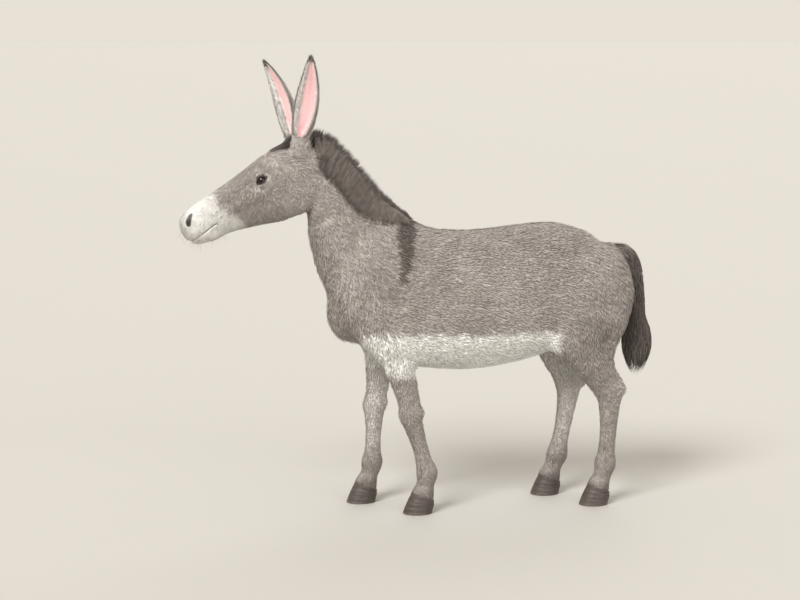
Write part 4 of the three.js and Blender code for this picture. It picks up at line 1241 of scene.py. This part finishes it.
# ---------------------------------------------------------------- the skin and its coat
def hide(p, tris, n):
    """The one skin under all the hair, which stands for every solid of flesh."""
    thing = mesh_object("hide", p, tris)
    a, b, c, r = eye_place(p)
    gap, back = mouth_gap(p)
    # the nostrils: dark skin inside them, and painted shade spread about 4.6 mm out over their rims
    hole = ramp(4.6, -.6, NOSTRIL_HOLE(folded_left(p)))
    lids = ramp(3.4, 1.4, eye_slit(a, b)) * (r < 30) * (c > 0)
    lips = ramp(2.6, 1.2, np.abs(gap)) * ramp(-2, 3, back) * near_head(p)
    pale, dark = pale_and_dark(p, n)
    bare = np.maximum.reduce([hole, lids, .85 * lips])
    marks = {"pale": pale, "dark": dark, "pink": ear_inside(p)[1], "bare": np.clip(bare, 0, 1)}
    for key, values in marks.items():
        keep_value(thing, key, values)
    legs = [f"leg_{name}_{part}" for name in STEP for part in ("upper", "lower")]
    finished(thing, skin_material(), "coat", "trunk", "neck", "head", "ear_left", "ear_right", "tail", *legs)


def scattered(p, tris, n, rate, seed):
    """Points spread over the triangles at `rate` to the square millimetre, with their normals."""
    rng = np.random.default_rng(seed)
    a, b, c = (p[tris[:, k]] for k in range(3))
    area = .5 * np.linalg.norm(np.cross(b - a, c - a), axis=1)
    total = np.cumsum(area * rate)
    marks = np.arange(int(total[-1])) + rng.uniform(0, 1, int(total[-1]))
    which = np.minimum(np.searchsorted(total, marks), len(tris) - 1)
    u, v = rng.uniform(size=(2, len(which), 1))
    over = (u + v) > 1
    u, v = np.where(over, 1 - u, u), np.where(over, 1 - v, v)
    at = a[which] * (1 - u - v) + b[which] * u + c[which] * v
    normal = n[tris[which, 0]] * (1 - u - v) + n[tris[which, 1]] * u + n[tris[which, 2]] * v
    return at, unit(normal)


CORONET, CORONET_SLOPE = 61, .40      # height of the hoof's upper edge at its middle, and its rise forward
HOOF_NEAR = (70, 80)                  # a hoof is within this of its middle, across and along


def hoof_centre(name):
    """Where the middle of the coronet is, (x, f)."""
    low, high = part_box(f"hoof_{name}")
    return (low.x + high.x) / 2 * MM, SHIFT - low.y * MM - HOOF["toe"]


COAT_COVER = 2.5              # area of the tufts to the area of skin
COAT_LIMIT = 19000            # locks in one piece


def hairless(p):
    """Where no tuft grows: between the lids, in the nostrils and mouth, in the ears and under the hooves."""
    a, b, c, r = eye_place(p)
    eye = (c > -2) & (r < 36) & (eye_slit(a, b) < 2.2)
    hole = NOSTRIL_HOLE(folded_left(p)) < 1.2
    gap, back = mouth_gap(p)
    mouth = near_head(p) & (back > -2) & (np.abs(gap) < 2.4)
    low = np.zeros(len(p), bool)
    for name in STEP:
        x, f = hoof_centre(name)
        near = (np.abs(p[:, 0] - x) < HOOF_NEAR[0]) & (np.abs(p[:, 1] - f) < HOOF_NEAR[1])
        low |= near & (p[:, 2] < CORONET + CORONET_SLOPE * (p[:, 1] - f))
    return eye | hole | mouth | low | (ear_inside(p)[1] > .35)


LONG_TUFT = 16.0              # longer tufts bend; shorter ones are plain spikes
ROOT_DEPTH = 1.2              # a root starts this far under the skin
TIP_CLEAR = 1.3               # and its tip ends at least this far over it
TRUNK_MIDDLE = -20            # where the trunk's pieces meet, as f


def clear_of_skin(p, way):
    """Tips that would end in a fold of the skin, raised out of it."""
    low = TIP_CLEAR - flesh(p)
    return p + way * np.clip(low, 0, 7)[:, None]


def coat_roots(p, tris, n):
    """Where tufts grow and the skin's normals there, closer together where the hair is short."""
    middle = p[tris].mean(1)
    length, wide = coat_size(middle, region_gaps(middle))
    cover = COAT_COVER * 1 * (1 + .5 * ramp(14, 9, length))
    root, normal = scattered(p, tris, n, cover / (length * wide) * ~hairless(middle), 11)
    keep = ~hairless(root)
    return root[keep], normal[keep]


def coat_values(root, normal, rng):
    """Each tuft's paleness, darkness and shade, a few tufts standing out in the pale and dark parts."""
    pale, dark = pale_and_dark(root, normal)
    shade = np.clip(rng.normal(0, .42, len(root)) + .45 * waves(root, 36, 25), -1.2, 1.2)
    flip = rng.uniform(size=len(root))
    return {"pale": np.where(flip < .03 * pale, pale * .5, pale),
            "dark": np.where(flip > 1 - .05 * dark, dark * .6, dark), "shade": shade}


def coat(p, tris, n):
    """Short hair over the whole hide, in pieces of one region each."""
    root, normal = coat_roots(p, tris, n)
    gaps = region_gaps(root)
    rng = np.random.default_rng(12)
    length = coat_size(root, gaps)[0] * rng.uniform(.78, 1.25, len(root)) * (1 + .10 * waves(root, 55, 21))
    way = lie_of_coat(root, gaps)
    way = unit(way - normal * dot(way, normal)[:, None])
    sway = .22 * waves(root, 48, 22) + .14 * waves(root, 19, 23) + rng.normal(0, .10, len(root))
    way = unit(way + np.cross(normal, way) * sway[:, None])
    side = np.cross(normal, way)
    rise = np.minimum(coat_depth(root) * .92, length * .30)
    rise = rise * (.78 + .16 * waves(root, 34, 24) + rng.uniform(-.20, .20, len(root)))
    values = coat_values(root, normal, rng)
    base = root - normal * ROOT_DEPTH
    tip = clear_of_skin(root + way * length[:, None] + normal * rise[:, None], normal)
    bend = base + (tip - base) * .45 + normal * (.17 * rise + .5 * ROOT_DEPTH)[:, None]
    paths = np.stack([base, bend, tip], 1)
    quarter = 2 * (root[:, 0] > 0) + (root[:, 1] > TRUNK_MIDDLE)
    group = np.argmin(gaps, 1)
    group = np.where(group == REGIONS.index("trunk"), len(REGIONS) + quarter, group)
    for g in np.unique(group):
        name, part = (REGIONS[g], 0) if g < len(REGIONS) else ("trunk", g - len(REGIONS))
        index = np.flatnonzero(group == g)
        u, v = unwrap(name, root[index])
        for start in range(0, len(index), COAT_LIMIT):
            i, w = index[start:start + COAT_LIMIT], slice(start, start + COAT_LIMIT)
            coat_part(f"coat_{name}_{part}_{start // COAT_LIMIT}", paths[i], side[i], length[i],
                      {key: q[i] for key, q in values.items()}, u[w], v[w])


def coat_part(name, paths, side, length, values, u, v):
    """One piece of the coat: long tufts with a bend, short ones without."""
    blocks = []
    for bent in (True, False):
        m = (length > LONG_TUFT) == bent
        if not m.any():
            continue
        path = paths[m] if bent else paths[m][:, [0, 2]]
        half = np.repeat(wide_at(length[m])[:, None] / 2, path.shape[1] - 1, 1)
        half[:, 0] *= .8 if bent else 1
        kept = {key: q[m] for key, q in values.items()}
        blocks.append((*strands(path, side[m], half, half * .32), kept, u[m], v[m]))
    coat_piece(name, blocks, "coat")


# ---------------------------------------------------------------- long hair
def resampled(paths, count):
    """Smooth paths through control points (n, k, 3), with `count` points each."""
    at = np.linspace(0, paths.shape[1] - 1, count)
    i = np.minimum(at.astype(int), paths.shape[1] - 2)
    return spline(paths.swapaxes(0, 1), i, at - i).swapaxes(0, 1)


def hairs(root, way, length, bend, shares):
    """Paths that leave their roots along `way` and are drawn off towards `bend` as they go."""
    return np.stack([root + way * (length * s)[:, None] + bend * (length * s * s)[:, None]
                     for s in shares], 1)


LOCK_POINTS = 8


def locks(paths, across, half, taper=.55):
    """Locks that are widest a third of the way up."""
    k = paths.shape[1]
    t = np.linspace(0, 1, k)[:-1]
    shape = (.75 + .25 * np.sin(np.minimum(t / .66, 1) * math.pi)) * (1 - taper * t ** 1.5)
    wide = half[:, None] * shape[None]
    return strands(paths, across, wide, wide * .7)


def tones(n, dark, pale, rng, spread=.5):
    """The values of n locks, alike but for their shade."""
    return {"pale": np.broadcast_to(pale, n).astype(float), "dark": np.broadcast_to(dark, n).astype(float),
            "shade": np.clip(rng.normal(0, spread, n), -1.2, 1.2)}


CREST_F, CREST_ROWS = (258, 624), 40
CREST_SEARCH = np.arange(1500, 960, -3.0)               # heights where the crest is looked for, downwards
FLANK_SEARCH = np.arange(2, 150, 2.0)                   # and distances from the middle for the neck's side
FLANK_DEPTHS = np.array([0, 8, 20, 40, 65, 95.0])       # under the crest
MANE_TALL, MANE_FALL = 66, 70
LONG_HAIR = {  # how many locks, and half their width
    "mane_standing": (3900, 1.45), "mane_falling": (3000, 1.35), "forelock": (520, 1.9), "tail": (3000, 2.3),
    "ear down": (950, .8), "ear fringe": (1500, .6)}


def hair_facts(kind):
    """How many locks of a kind there are, and half their width."""
    count, half = LONG_HAIR[kind]
    return int(count * (1)), half


class Crest:
    """The top line of the neck, from withers to poll, and how wide the neck is under it."""

    def __init__(self, field):
        f, z, side = np.linspace(*CREST_F, CREST_ROWS), CREST_SEARCH, FLANK_SEARCH
        grid = np.stack(np.meshgrid([0.0], f, z, indexing="ij"), -1).reshape(-1, 3)
        inside = field(grid).reshape(len(f), len(z)) < 0
        top = z[inside.argmax(1)]
        self.at = settle(field, np.stack([0 * f, f, top], 1), 3)
        self.along = unit(np.gradient(self.at, axis=0))
        self.out = np.stack([0 * f, -self.along[:, 2], self.along[:, 1]], 1)
        self.flank = np.zeros((len(f), len(FLANK_DEPTHS)))
        for j, depth in enumerate(FLANK_DEPTHS):
            q = self.at - self.out * (depth + .5)
            p = np.repeat(q, len(side), 0) + np.outer(np.tile(side, len(f)), LEFT)
            free = field(p).reshape(len(f), len(side)) > 0
            self.flank[:, j] = side[free.argmax(1)]

    def sample(self, t):
        k = t * (len(self.at) - 1)
        i = np.minimum(k.astype(int), len(self.at) - 2)
        return i, k - i

    def place(self, t):
        """The crest's points at shares t of its length, with the ways along it and out of it."""
        i, w = self.sample(t)
        w = w[:, None]
        return [a[i] * (1 - w) + a[i + 1] * w for a in (self.at, self.along, self.out)]

    def side_at(self, t, depth):
        """Half the neck's width at a depth under the crest."""
        i, w = self.sample(t)
        low, high = (np.array([np.interp(d, FLANK_DEPTHS, self.flank[j]) for d, j in zip(depth, k)])
                     for k in (i, i + 1))
        return low * (1 - w) + high * w


def mane_height(t):
    return (7 + 8 * ramp(0, .1, t) + (MANE_TALL - 15) * ramp(0, .5, t)) * (1 - .18 * ramp(.85, 1, t))


def standing_mane(crest, rng, count):
    """Locks that stand on the crest and lean and sway together."""
    t = rng.uniform(0, 1, count)
    x = np.clip(rng.normal(0, 7.5, count), -15, 15) * (.6 + .4 * ramp(0, .6, t))
    at, along, out = crest.place(t)
    tall = (mane_height(t) + 7) * rng.uniform(.76, 1.06, count) * (1 - .012 * np.abs(x))
    lean = rng.normal(0, 5, count) + x * .35 + 9 * waves(at, 55, 41)
    sway = rng.normal(0, 4, count) + 8 * waves(at, 40, 42)
    base = at + np.outer(x, LEFT) - out * (4.5 * (x / 15) ** 2 + 2)[:, None]
    paths = [base + out * (tall * s)[:, None] + np.outer(lean * s ** 1.8, LEFT)
             - along * (sway * s ** 1.6 + 6 * s * s)[:, None] for s in np.linspace(0, 1, 6)]
    return np.stack(paths, 1), t, x, unit(along + rng.normal(0, .35, (count, 3)))


def falling_mane(crest, rng, count):
    """Locks that go over to the left and hang down the side of the neck."""
    t = rng.uniform(.06, .97, count)
    x = rng.uniform(-4, 14, count)
    at, along, out = crest.place(t)
    reach = between(22, MANE_FALL, ramp(0, .5, t)) * (1 - .3 * ramp(.82, 1, t))
    reach = reach * rng.uniform(.55, 1.05, count)
    up = (mane_height(t) - 8) * rng.uniform(.35, .72, count)
    drift = rng.uniform(14, 40, count) + 10 * waves(at, 70, 43)
    away = rng.uniform(3, 12, count) * (1 - .75 * ramp(.78, .97, t))
    top = crest.side_at(t, np.full(count, 8.0)) + away
    half_way = crest.side_at(t, reach * .5) + away
    foot = crest.side_at(t, reach) + away * .8
    shape = [(x, -2 * np.ones(count), 0), (x + 3, up * .7, .02), (x * .5 + top * .5, up, .12),
             (top, up * .3, .3), (half_way, -reach * .5, .62), (foot, -reach, 1)]   # to the side, out, share
    rows = [at + np.outer(a, LEFT) + out * b[:, None] - along * (drift * c)[:, None] for a, b, c in shape]
    return resampled(np.stack(rows, 1), LOCK_POINTS), t, x, unit(along + rng.normal(0, .2, (count, 3)))


def mane():
    """Locks standing on the crest and, over them, locks that fall to the left."""
    rng = np.random.default_rng(31)
    crest = Crest(plain_flesh)
    for name, shape, replaced in (("mane_standing", standing_mane, ["mane"]),
                                  ("mane_falling", falling_mane, [])):
        count, half = hair_facts(name)
        paths, t, x, across = shape(crest, rng, count)
        made = locks(paths, across, half * rng.uniform(.6, 1.25, len(t)))
        dark = np.clip(1 - .35 * ramp(8, 15, np.abs(x)) * (rng.uniform(size=len(t)) < .5), 0, 1)
        coat_piece(name, [(*made, tones(len(t), dark, 0.0, rng), t, .5 + x / 40)], "hair", *replaced)


def lifted(p, way, height):
    """Points moved along `way` until they are `height` clear of the skin."""
    for _ in range(5):
        g = gradient(plain_flesh, p)
        p = p + way * ((height - plain_flesh(p)) / np.maximum(g @ way, .25))[:, None]
    return p


FORELOCK = [  # how far along a lock, height over the skin and spread sideways
    (0, -6, 1), (3, 16, 1.05), (16, 25, 1.15), (42, 22, 1.4), (70, 12, 1.5), (100, 3, 1.2)]


def forelock():
    """A short lock that rises between the ears and falls forward over the brow."""
    rng = np.random.default_rng(32)
    count, half = hair_facts("forelock")
    start, x0 = rng.uniform(-34, 22, count), np.clip(rng.normal(0, 8, count), -15, 15)
    reach = rng.uniform(.5, 1.2, count)
    sway, lift = rng.normal(0, 5, count), rng.uniform(.35, 1.1, count)
    rows = []
    for s, height, spread in FORELOCK:
        at = start * (1 - s / 140) + s * reach
        side = x0 * spread + sway * s / 92
        p = POLL + np.outer(at, ALONG) + np.outer(side, LEFT) + 20 * OVER
        rows.append(lifted(p, OVER, height * (lift if s > 4 else 1)))
    across = unit(LEFT + rng.normal(0, .3, (count, 3)))
    made = locks(resampled(np.stack(rows, 1), LOCK_POINTS), across, half * rng.uniform(.6, 1.2, count))
    block = (*made, tones(count, 1.0, 0.0, rng), (start + 40) / 70, .5 + x0 / 34)
    coat_piece("forelock_hair", [block], "hair", "forelock")


TAIL_SHAPE = [  # f, z, half width, half depth of the hair, radius of the flesh
    (-452, 918, 22, 20, 20), (-505, 938, 28, 25, 18), (-548, 925, 31, 28, 17), (-577, 888, 32, 30, 16),
    (-591, 838, 32, 31, 15), (-597, 770, 32, 32, 13), (-598, 690, 36, 36, 11), (-600, 650, 45, 48, 9),
    (-602, 605, 50, 56, 6), (-603, 560, 48, 55, 4), (-602, 515, 38, 43, 3), (-600, 478, 22, 25, 2),
    (-599, 455, 7, 8, 1)]


def tail():
    """Short hair along the dock, growing into the long locks of the tassel."""
    rng = np.random.default_rng(33)
    rows = curve_through([(0, *row) for row in TAIL_SHAPE], 8)
    middle = rows[:, :3]
    run = np.concatenate([[0], np.cumsum(np.linalg.norm(np.diff(middle, axis=0), axis=1))])
    whole = run[-1]
    along = unit(np.gradient(middle, axis=0))
    out = np.stack([0 * run, -along[:, 2], along[:, 1]], 1)
    count, half = hair_facts("tail")
    short_ones = rng.uniform(size=count) < .42
    start = whole * np.where(short_ones, rng.uniform(.10, .50, count), rng.uniform(.36, .76, count))
    long = ramp(.30, .50, start / whole)
    short = rng.uniform(38, 74, count)
    end = whole - rng.uniform(0, 62, count)
    length = short + (np.maximum(end - start, 60) - short) * long * rng.uniform(.55, 1, count)
    turn = rng.uniform(0, 2 * math.pi, count)
    full = rng.uniform(.02, 1.0, count) ** .45
    twist = rng.normal(0, .35, count)
    paths = []
    for s in np.linspace(0, 1, LOCK_POINTS):
        at = np.minimum(start + length * s, whole)
        c, o = (np.stack([np.interp(at, run, a[:, k]) for k in range(3)], 1) for a in (middle, out))
        wide, deep, core = (np.interp(at, run, rows[:, k]) for k in (3, 4, 5))
        open_out = ramp(0, .55, s) * full
        angle = turn + twist * s + .15 * np.sin(at / 23 + turn * 3)
        paths.append(c + np.outer(between(core, wide, open_out) * np.cos(angle), LEFT)
                     + o * (between(core, deep, open_out) * np.sin(angle))[:, None])
    across = np.stack([-np.sin(turn), 0 * turn, 0 * turn], 1) + rng.normal(0, .5, (count, 3))
    made = locks(np.stack(paths, 1), unit(across), half * rng.uniform(.6, 1.25, count))
    top = ramp(.16, .08, start / whole)
    block = (*made, tones(count, 1 - .8 * top, 0.0, rng), start / whole, turn / (2 * math.pi))
    coat_piece("tail_hair", [block], "hair", "tail_tuft")


def ear_down(ear, rng):
    """Pale down from the edges and the floor of the cup."""
    count, half = hair_facts("ear down")
    share = .10 + .82 * rng.uniform(0, 1, count) ** 1.35
    edge = np.sign(rng.uniform(-1, 1, count)) * (1 - .42 * rng.uniform(0, 1, count) ** 1.6)
    turn = edge * ear.half_arc(share) * .96
    root = ear.at(share, turn, ear.wall(share) - .6)
    length = rng.uniform(16, 34, count) * (1 - .5 * share)
    inward = unit(ear.root + np.outer(share * EAR_LENGTH, ear.axis) - root)
    way = unit(ear.axis * .95 + inward * .42 + ear.mouth * .30 + rng.normal(0, .13, (count, 3)))
    bend = unit(inward * .5 + ear.mouth * .5)
    made = locks(hairs(root, way, length, .16 * bend, (0, .33, .67, 1)), unit(np.cross(way, bend) + .01),
                 half * rng.uniform(.6, 1.3, count))
    return *made, tones(count, .12 * (rng.uniform(size=count) < .3), .9, rng), share, .5 + turn / 7


def ear_fringe(ear, rng):
    """A short dark fringe on the rim."""
    count, half = hair_facts("ear fringe")
    share = rng.uniform(.10, 1.0, count)
    sign = np.sign(rng.uniform(-1, 1, count))
    turn = sign * ear.half_arc(share)
    root = ear.at(share, turn * .99, ear.wall(share) * rng.uniform(.1, .9, count))
    beyond = unit(ear.at(share, turn + sign * .05) - ear.at(share, turn))
    way = unit(ear.axis + beyond * .35 + rng.normal(0, .16, (count, 3)))
    length = rng.uniform(6, 11, count)
    paths = np.stack([root - way * 1.5, root + way * (length * .5)[:, None], root + way * length[:, None]], 1)
    made = locks(paths, unit(np.cross(way, beyond)), half * rng.uniform(.7, 1.3, count))
    dark = ramp(.6, .9, share) * .6 + .35
    return *made, tones(count, dark, .0, rng), share, .5 + turn / 7


def ear_hair():
    """The down and the fringe of both ears."""
    rng = np.random.default_rng(34)
    blocks = [make(ear, rng) for ear in EAR.values() for make in (ear_down, ear_fringe)]
    coat_piece("ear_hair", blocks, "coat")


def eye_point(a, b, radius):
    """The left eye's surface point at arcs a to the nose and b up."""
    u, v = a / EYE_RADIUS, b / EYE_RADIUS
    way = (np.outer(np.cos(v) * np.cos(u), EYE_OUT) + np.outer(np.cos(v) * np.sin(u), EYE_TO_NOSE)
           + np.outer(np.sin(v), EYE_UP))
    return EYE_CENTRE + way * np.asarray(radius)[..., None], way


LASHES = [  # count, the lid's edge, rise, half span, length
    (64, EYE_SLIT["up"], .42, 16, 12.5), (26, -EYE_SLIT["down"], -.5, 12, 6)]


def lashes():
    """Lashes on the upper lid and short ones on the lower."""
    rng = np.random.default_rng(35)
    blocks = []
    for side in SIDES.values():
        for count, edge, rise, span, size in LASHES:
            a = np.linspace(-span, span, count) + rng.normal(0, .3, count)
            b = edge * (1 - np.abs(a / EYE_SLIT["half"]) ** LID_BOW)
            root, way = eye_point(a, b, np.full(count, EYE_RADIUS + LID_OVER))
            way = unit(way + EYE_UP * rise + np.outer(a / 30, EYE_TO_NOSE) + rng.normal(0, .08, (count, 3)))
            length = size * rng.uniform(.7, 1.1, count) * (1 - .3 * (a / span) ** 2)
            p, t, points, share = locks(hairs(root, way, length, -.34 * UP, (0, .3, .65, 1)),
                                        unit(np.cross(way, EYE_UP)), np.full(count, .34))
            if side < 0:
                p, t = mirrored(p, -1), t[:, ::-1]
            values = tones(count, 1.0, 0.0, rng, .2)
            blocks.append((p, t, points, share, values, .5 + a / 50, np.full(count, .5)))
    coat_piece("lashes", blocks, "hair")


WHISKERS = .0052              # to the square millimetre


def whiskers(p, tris, n):
    """Long stiff hairs on the lips and chin."""
    rng = np.random.default_rng(36)
    middle = p[tris].mean(1)
    s, h = head_share(middle)
    on = near_head(middle) & (((s > 425) & (h < -48)) | ((s > 385) & (h < -118)))
    root, normal = scattered(p, tris, n, WHISKERS * on * ~hairless(middle), 37)
    way = unit(normal + ALONG * .35 - .45 * UP + rng.normal(0, .16, root.shape))
    length = rng.uniform(16, 38, len(root))
    paths = hairs(root - normal, way, length, -.25 * UP, (0, .35, .7, 1))
    made = locks(paths, unit(np.cross(way, normal) + .01), np.full(len(root), .32), .8)
    values = tones(len(root), (rng.uniform(size=len(root)) < .5) * .8, .5, rng)
    coat_piece("whiskers", [(*made, values, *unwrap("head", root))], "coat")


# ---------------------------------------------------------------- eyes and hooves
BALL = {"around": 56, "rings": 44, "under": .25, "bulge": .9, "cornea": (.78, .45)}   # radians off its axis
PUPIL_SIZE, IRIS_SIZE = (9.5, 4.4), (17, 14)     # half sizes to the nose and up
BEHIND = 9                    # added to the marks on the back of the ball, which is neither


def eyeball(side):
    """A ball with a bulging cornea; its marks are distances from the middle of the pupil."""
    phi = np.linspace(0, 2 * math.pi, BALL["around"], endpoint=False)
    grid = []
    for t in np.linspace(0, math.pi, BALL["rings"])[1:-1]:
        way = (math.cos(t) * EYE_OUT + math.sin(t) * (np.outer(np.cos(phi), EYE_TO_NOSE)
                                                       + np.outer(np.sin(phi), EYE_UP)))
        bulge = BALL["bulge"] * float(ramp(*BALL["cornea"], np.array(t)))
        grid.append(EYE_CENTRE + way * (EYE_RADIUS - BALL["under"] + bulge))
    p, tris = tube(grid)
    p[-2] = EYE_CENTRE + EYE_OUT * (EYE_RADIUS - BALL["under"] + BALL["bulge"])
    p[-1] = EYE_CENTRE - EYE_OUT * (EYE_RADIUS - BALL["under"])
    a, b, c, _ = eye_place(p)
    if np.linalg.det(p[tris[0]] - EYE_CENTRE) < 0:
        tris = tris[:, ::-1]
    if side == "right":
        p, tris = mirrored(p, -1), tris[:, ::-1]
    thing = mesh_object(f"eyeball_{side}", p, tris)
    for key, (wide, high) in (("pupil", PUPIL_SIZE), ("iris", IRIS_SIZE)):
        keep_value(thing, key, np.hypot(a / wide, b / high) + BEHIND * (c < 0))
    finished(thing, EYE_GLOSS, "eye", f"eye_{side}")


HOOF = {"toe": 78, "heel": -30, "wide": 46, "top_deep": 42, "top_wide": 39, "coronet_toe": 80,
        "coronet_heel": 46}
HOOF_TURNS = 64
HOOF_SOLE = [(34, 7), (17, 5.5), (10, 4), (8.5, 0), (1.6, 0), (.3, 1.4)]     # drawn in, lifted
HOOF_LIP = [(1, 1.5), (.97, 7), (.85, 16)]                                  # share up, drawn in


def hoof(name):
    """A narrow upright hoof: ringed wall, coronet band, two heel bulbs and a sole hollowed inside its rim."""
    x, f = hoof_centre(name)
    turn = np.linspace(0, 2 * math.pi, HOOF_TURNS, endpoint=False)
    heel = bell(turn - math.pi, .30)
    bulbs = bell(np.abs(turn - math.pi) - .52, .30)
    middle, deep = (HOOF["toe"] + HOOF["heel"]) / 2, (HOOF["toe"] - HOOF["heel"]) / 2

    def ring(up, inset=0.0, lift=0.0):
        """The wall at share `up` from sole to coronet, drawn in by inset."""
        ripple = .22 * np.sin(up * 31 + .6 * np.cos(turn)) + .12 * np.sin(up * 67 + 1.1 * np.sin(turn))
        proud = (ripple + 1.3 * bell(up - .93, .06)) * (up > .05) - inset
        ease = up ** 1.08
        d = between(deep, HOOF["top_deep"], ease) + proud
        w = between(HOOF["wide"], HOOF["top_wide"], ease) + proud - .8
        back = 1 - .085 * heel * (1 - .4 * up) + .02 * bulbs
        back = back - .13 * ramp(.6, 1, up) * ramp(.3, -.7, np.cos(turn))
        at = middle * (1 - ease) + d * np.cos(turn) * back
        slope = (HOOF["coronet_toe"] - HOOF["coronet_heel"]) / (2 * HOOF["top_deep"])
        rim = (HOOF["coronet_toe"] + HOOF["coronet_heel"]) / 2 + slope * at - 1
        return np.stack([x + w * np.sin(turn), f + at, rim * up + lift], 1)

    # the hollow sole, the wall, and a lip tucked in under the coat
    rings = [ring(0, inset, lift) for inset, lift in HOOF_SOLE]
    rings += [ring(u) for u in np.linspace(.05, .97, 24)]
    rings += [ring(u, inset) for u, inset in HOOF_LIP]
    p, tris = tube(rings)
    centre = p[:-2].mean(0)
    volume = dot(np.cross(p[tris[:, 0]] - centre, p[tris[:, 1]] - centre), p[tris[:, 2]] - centre).sum()
    thing = mesh_object(f"horn_{name}", p, tris if volume > 0 else tris[:, ::-1])
    worn = ramp(9, 0, p[:, 2]) + .35 * waves(p, 16, 51) * ramp(30, 5, p[:, 2])
    keep_value(thing, "worn", np.clip(worn, 0, 1))
    finished(thing, HORN_WALL, "hoof", f"hoof_{name}")


# ---------------------------------------------------------------- the stage
FLOOR_COLOUR = (.423, .407, .380)
FLOOR_HALF = 400              # metres, so that no edge shows
STUDIO, STUDIO_LIGHT = (1.0, .94, .84, 1), .80
LAMPS = {  # where it shines from, power, width in degrees
    "key": ((3.6, -3.2, 4.2), 3.4, 24), "fill": ((4.0, 1.6, .6), 1.6, 60), "rim": ((-3.2, 1.6, 3.0), .8, 40)}
IMAGE_WIDTH, SENSOR = 800, 36
CAMERA = {"azimuth": 79, "elevation": 8, "lens": 85, "mm_per_pixel": 3.62, "across": 22, "up": 16,
          "clip_end": 2000}


def lamp(name, at, power, angle):
    """A broad, distant lamp that shines from `at` and looks `angle` degrees wide."""
    light = bpy.data.lights.new(name, "SUN")
    light.energy, light.angle = power, math.radians(angle)
    thing = bpy.data.objects.new(name, light)
    bpy.context.scene.collection.objects.link(thing)
    thing.rotation_mode = "QUATERNION"
    thing.rotation_quaternion = Vector(at).to_track_quat("Z", "Y")


def stage():
    """The floor, the studio's even light and its lamps."""
    mesh = bpy.data.meshes.new("floor")
    corner = [(x * FLOOR_HALF, y * FLOOR_HALF, 0) for x, y in ((-1, -1), (1, -1), (1, 1), (-1, 1))]
    mesh.from_pydata(corner, [], [(0, 1, 2, 3)])
    floor = bpy.data.objects.new("floor", mesh)
    bpy.context.scene.collection.objects.link(floor)
    floor.data.materials.append(Shader("floor", .9).paint(FLOOR_COLOUR))
    world = bpy.data.worlds.new("studio")
    bpy.context.scene.world = world
    world.use_nodes = True
    sky = world.node_tree.nodes["Background"]
    sky.inputs["Color"].default_value = STUDIO
    sky.inputs["Strength"].default_value = STUDIO_LIGHT
    for name, (at, power, angle) in LAMPS.items():
        lamp(name, at, power, angle)


def camera():
    """A camera at the picture's angle that sets the donkey where the picture has it."""
    scene = bpy.context.scene
    cam = bpy.data.objects.new("camera", bpy.data.cameras.new("camera"))
    scene.collection.objects.link(cam)
    scene.camera = cam
    cam.data.lens = CAMERA["lens"]
    a, e = math.radians(CAMERA["azimuth"]), math.radians(CAMERA["elevation"])
    back = Vector((math.sin(a) * math.cos(e), -math.cos(a) * math.cos(e), math.sin(e)))
    right = Vector((math.cos(a), math.sin(a), 0))
    up = back.cross(right)
    step = CAMERA["mm_per_pixel"] / MM
    centre = (CAD_LOW + CAD_HIGH) / 2
    target = centre - right * CAMERA["across"] * step - up * CAMERA["up"] * step
    far = step * IMAGE_WIDTH / (SENSOR / CAMERA["lens"])
    cam.location = target + back * far
    cam.rotation_mode = "QUATERNION"
    cam.rotation_quaternion = back.to_track_quat("Z", "Y")
    cam.data.clip_end = CAMERA["clip_end"]
    scene.view_settings.view_transform = "Standard"


# ---------------------------------------------------------------- build
HORN_WALL, EYE_GLOSS = hoof_material(), eye_material()
POINTS, TRIS = skin_mesh()
NORMALS = point_normals(POINTS, TRIS)
hide(POINTS, TRIS, NORMALS)
coat(POINTS, TRIS, NORMALS)
mane()
forelock()
tail()
ear_hair()
lashes()
whiskers(POINTS, TRIS, NORMALS)
for side_name in SIDES:
    eyeball(side_name)
for leg in STEP:
    hoof(leg)
stage()
camera()
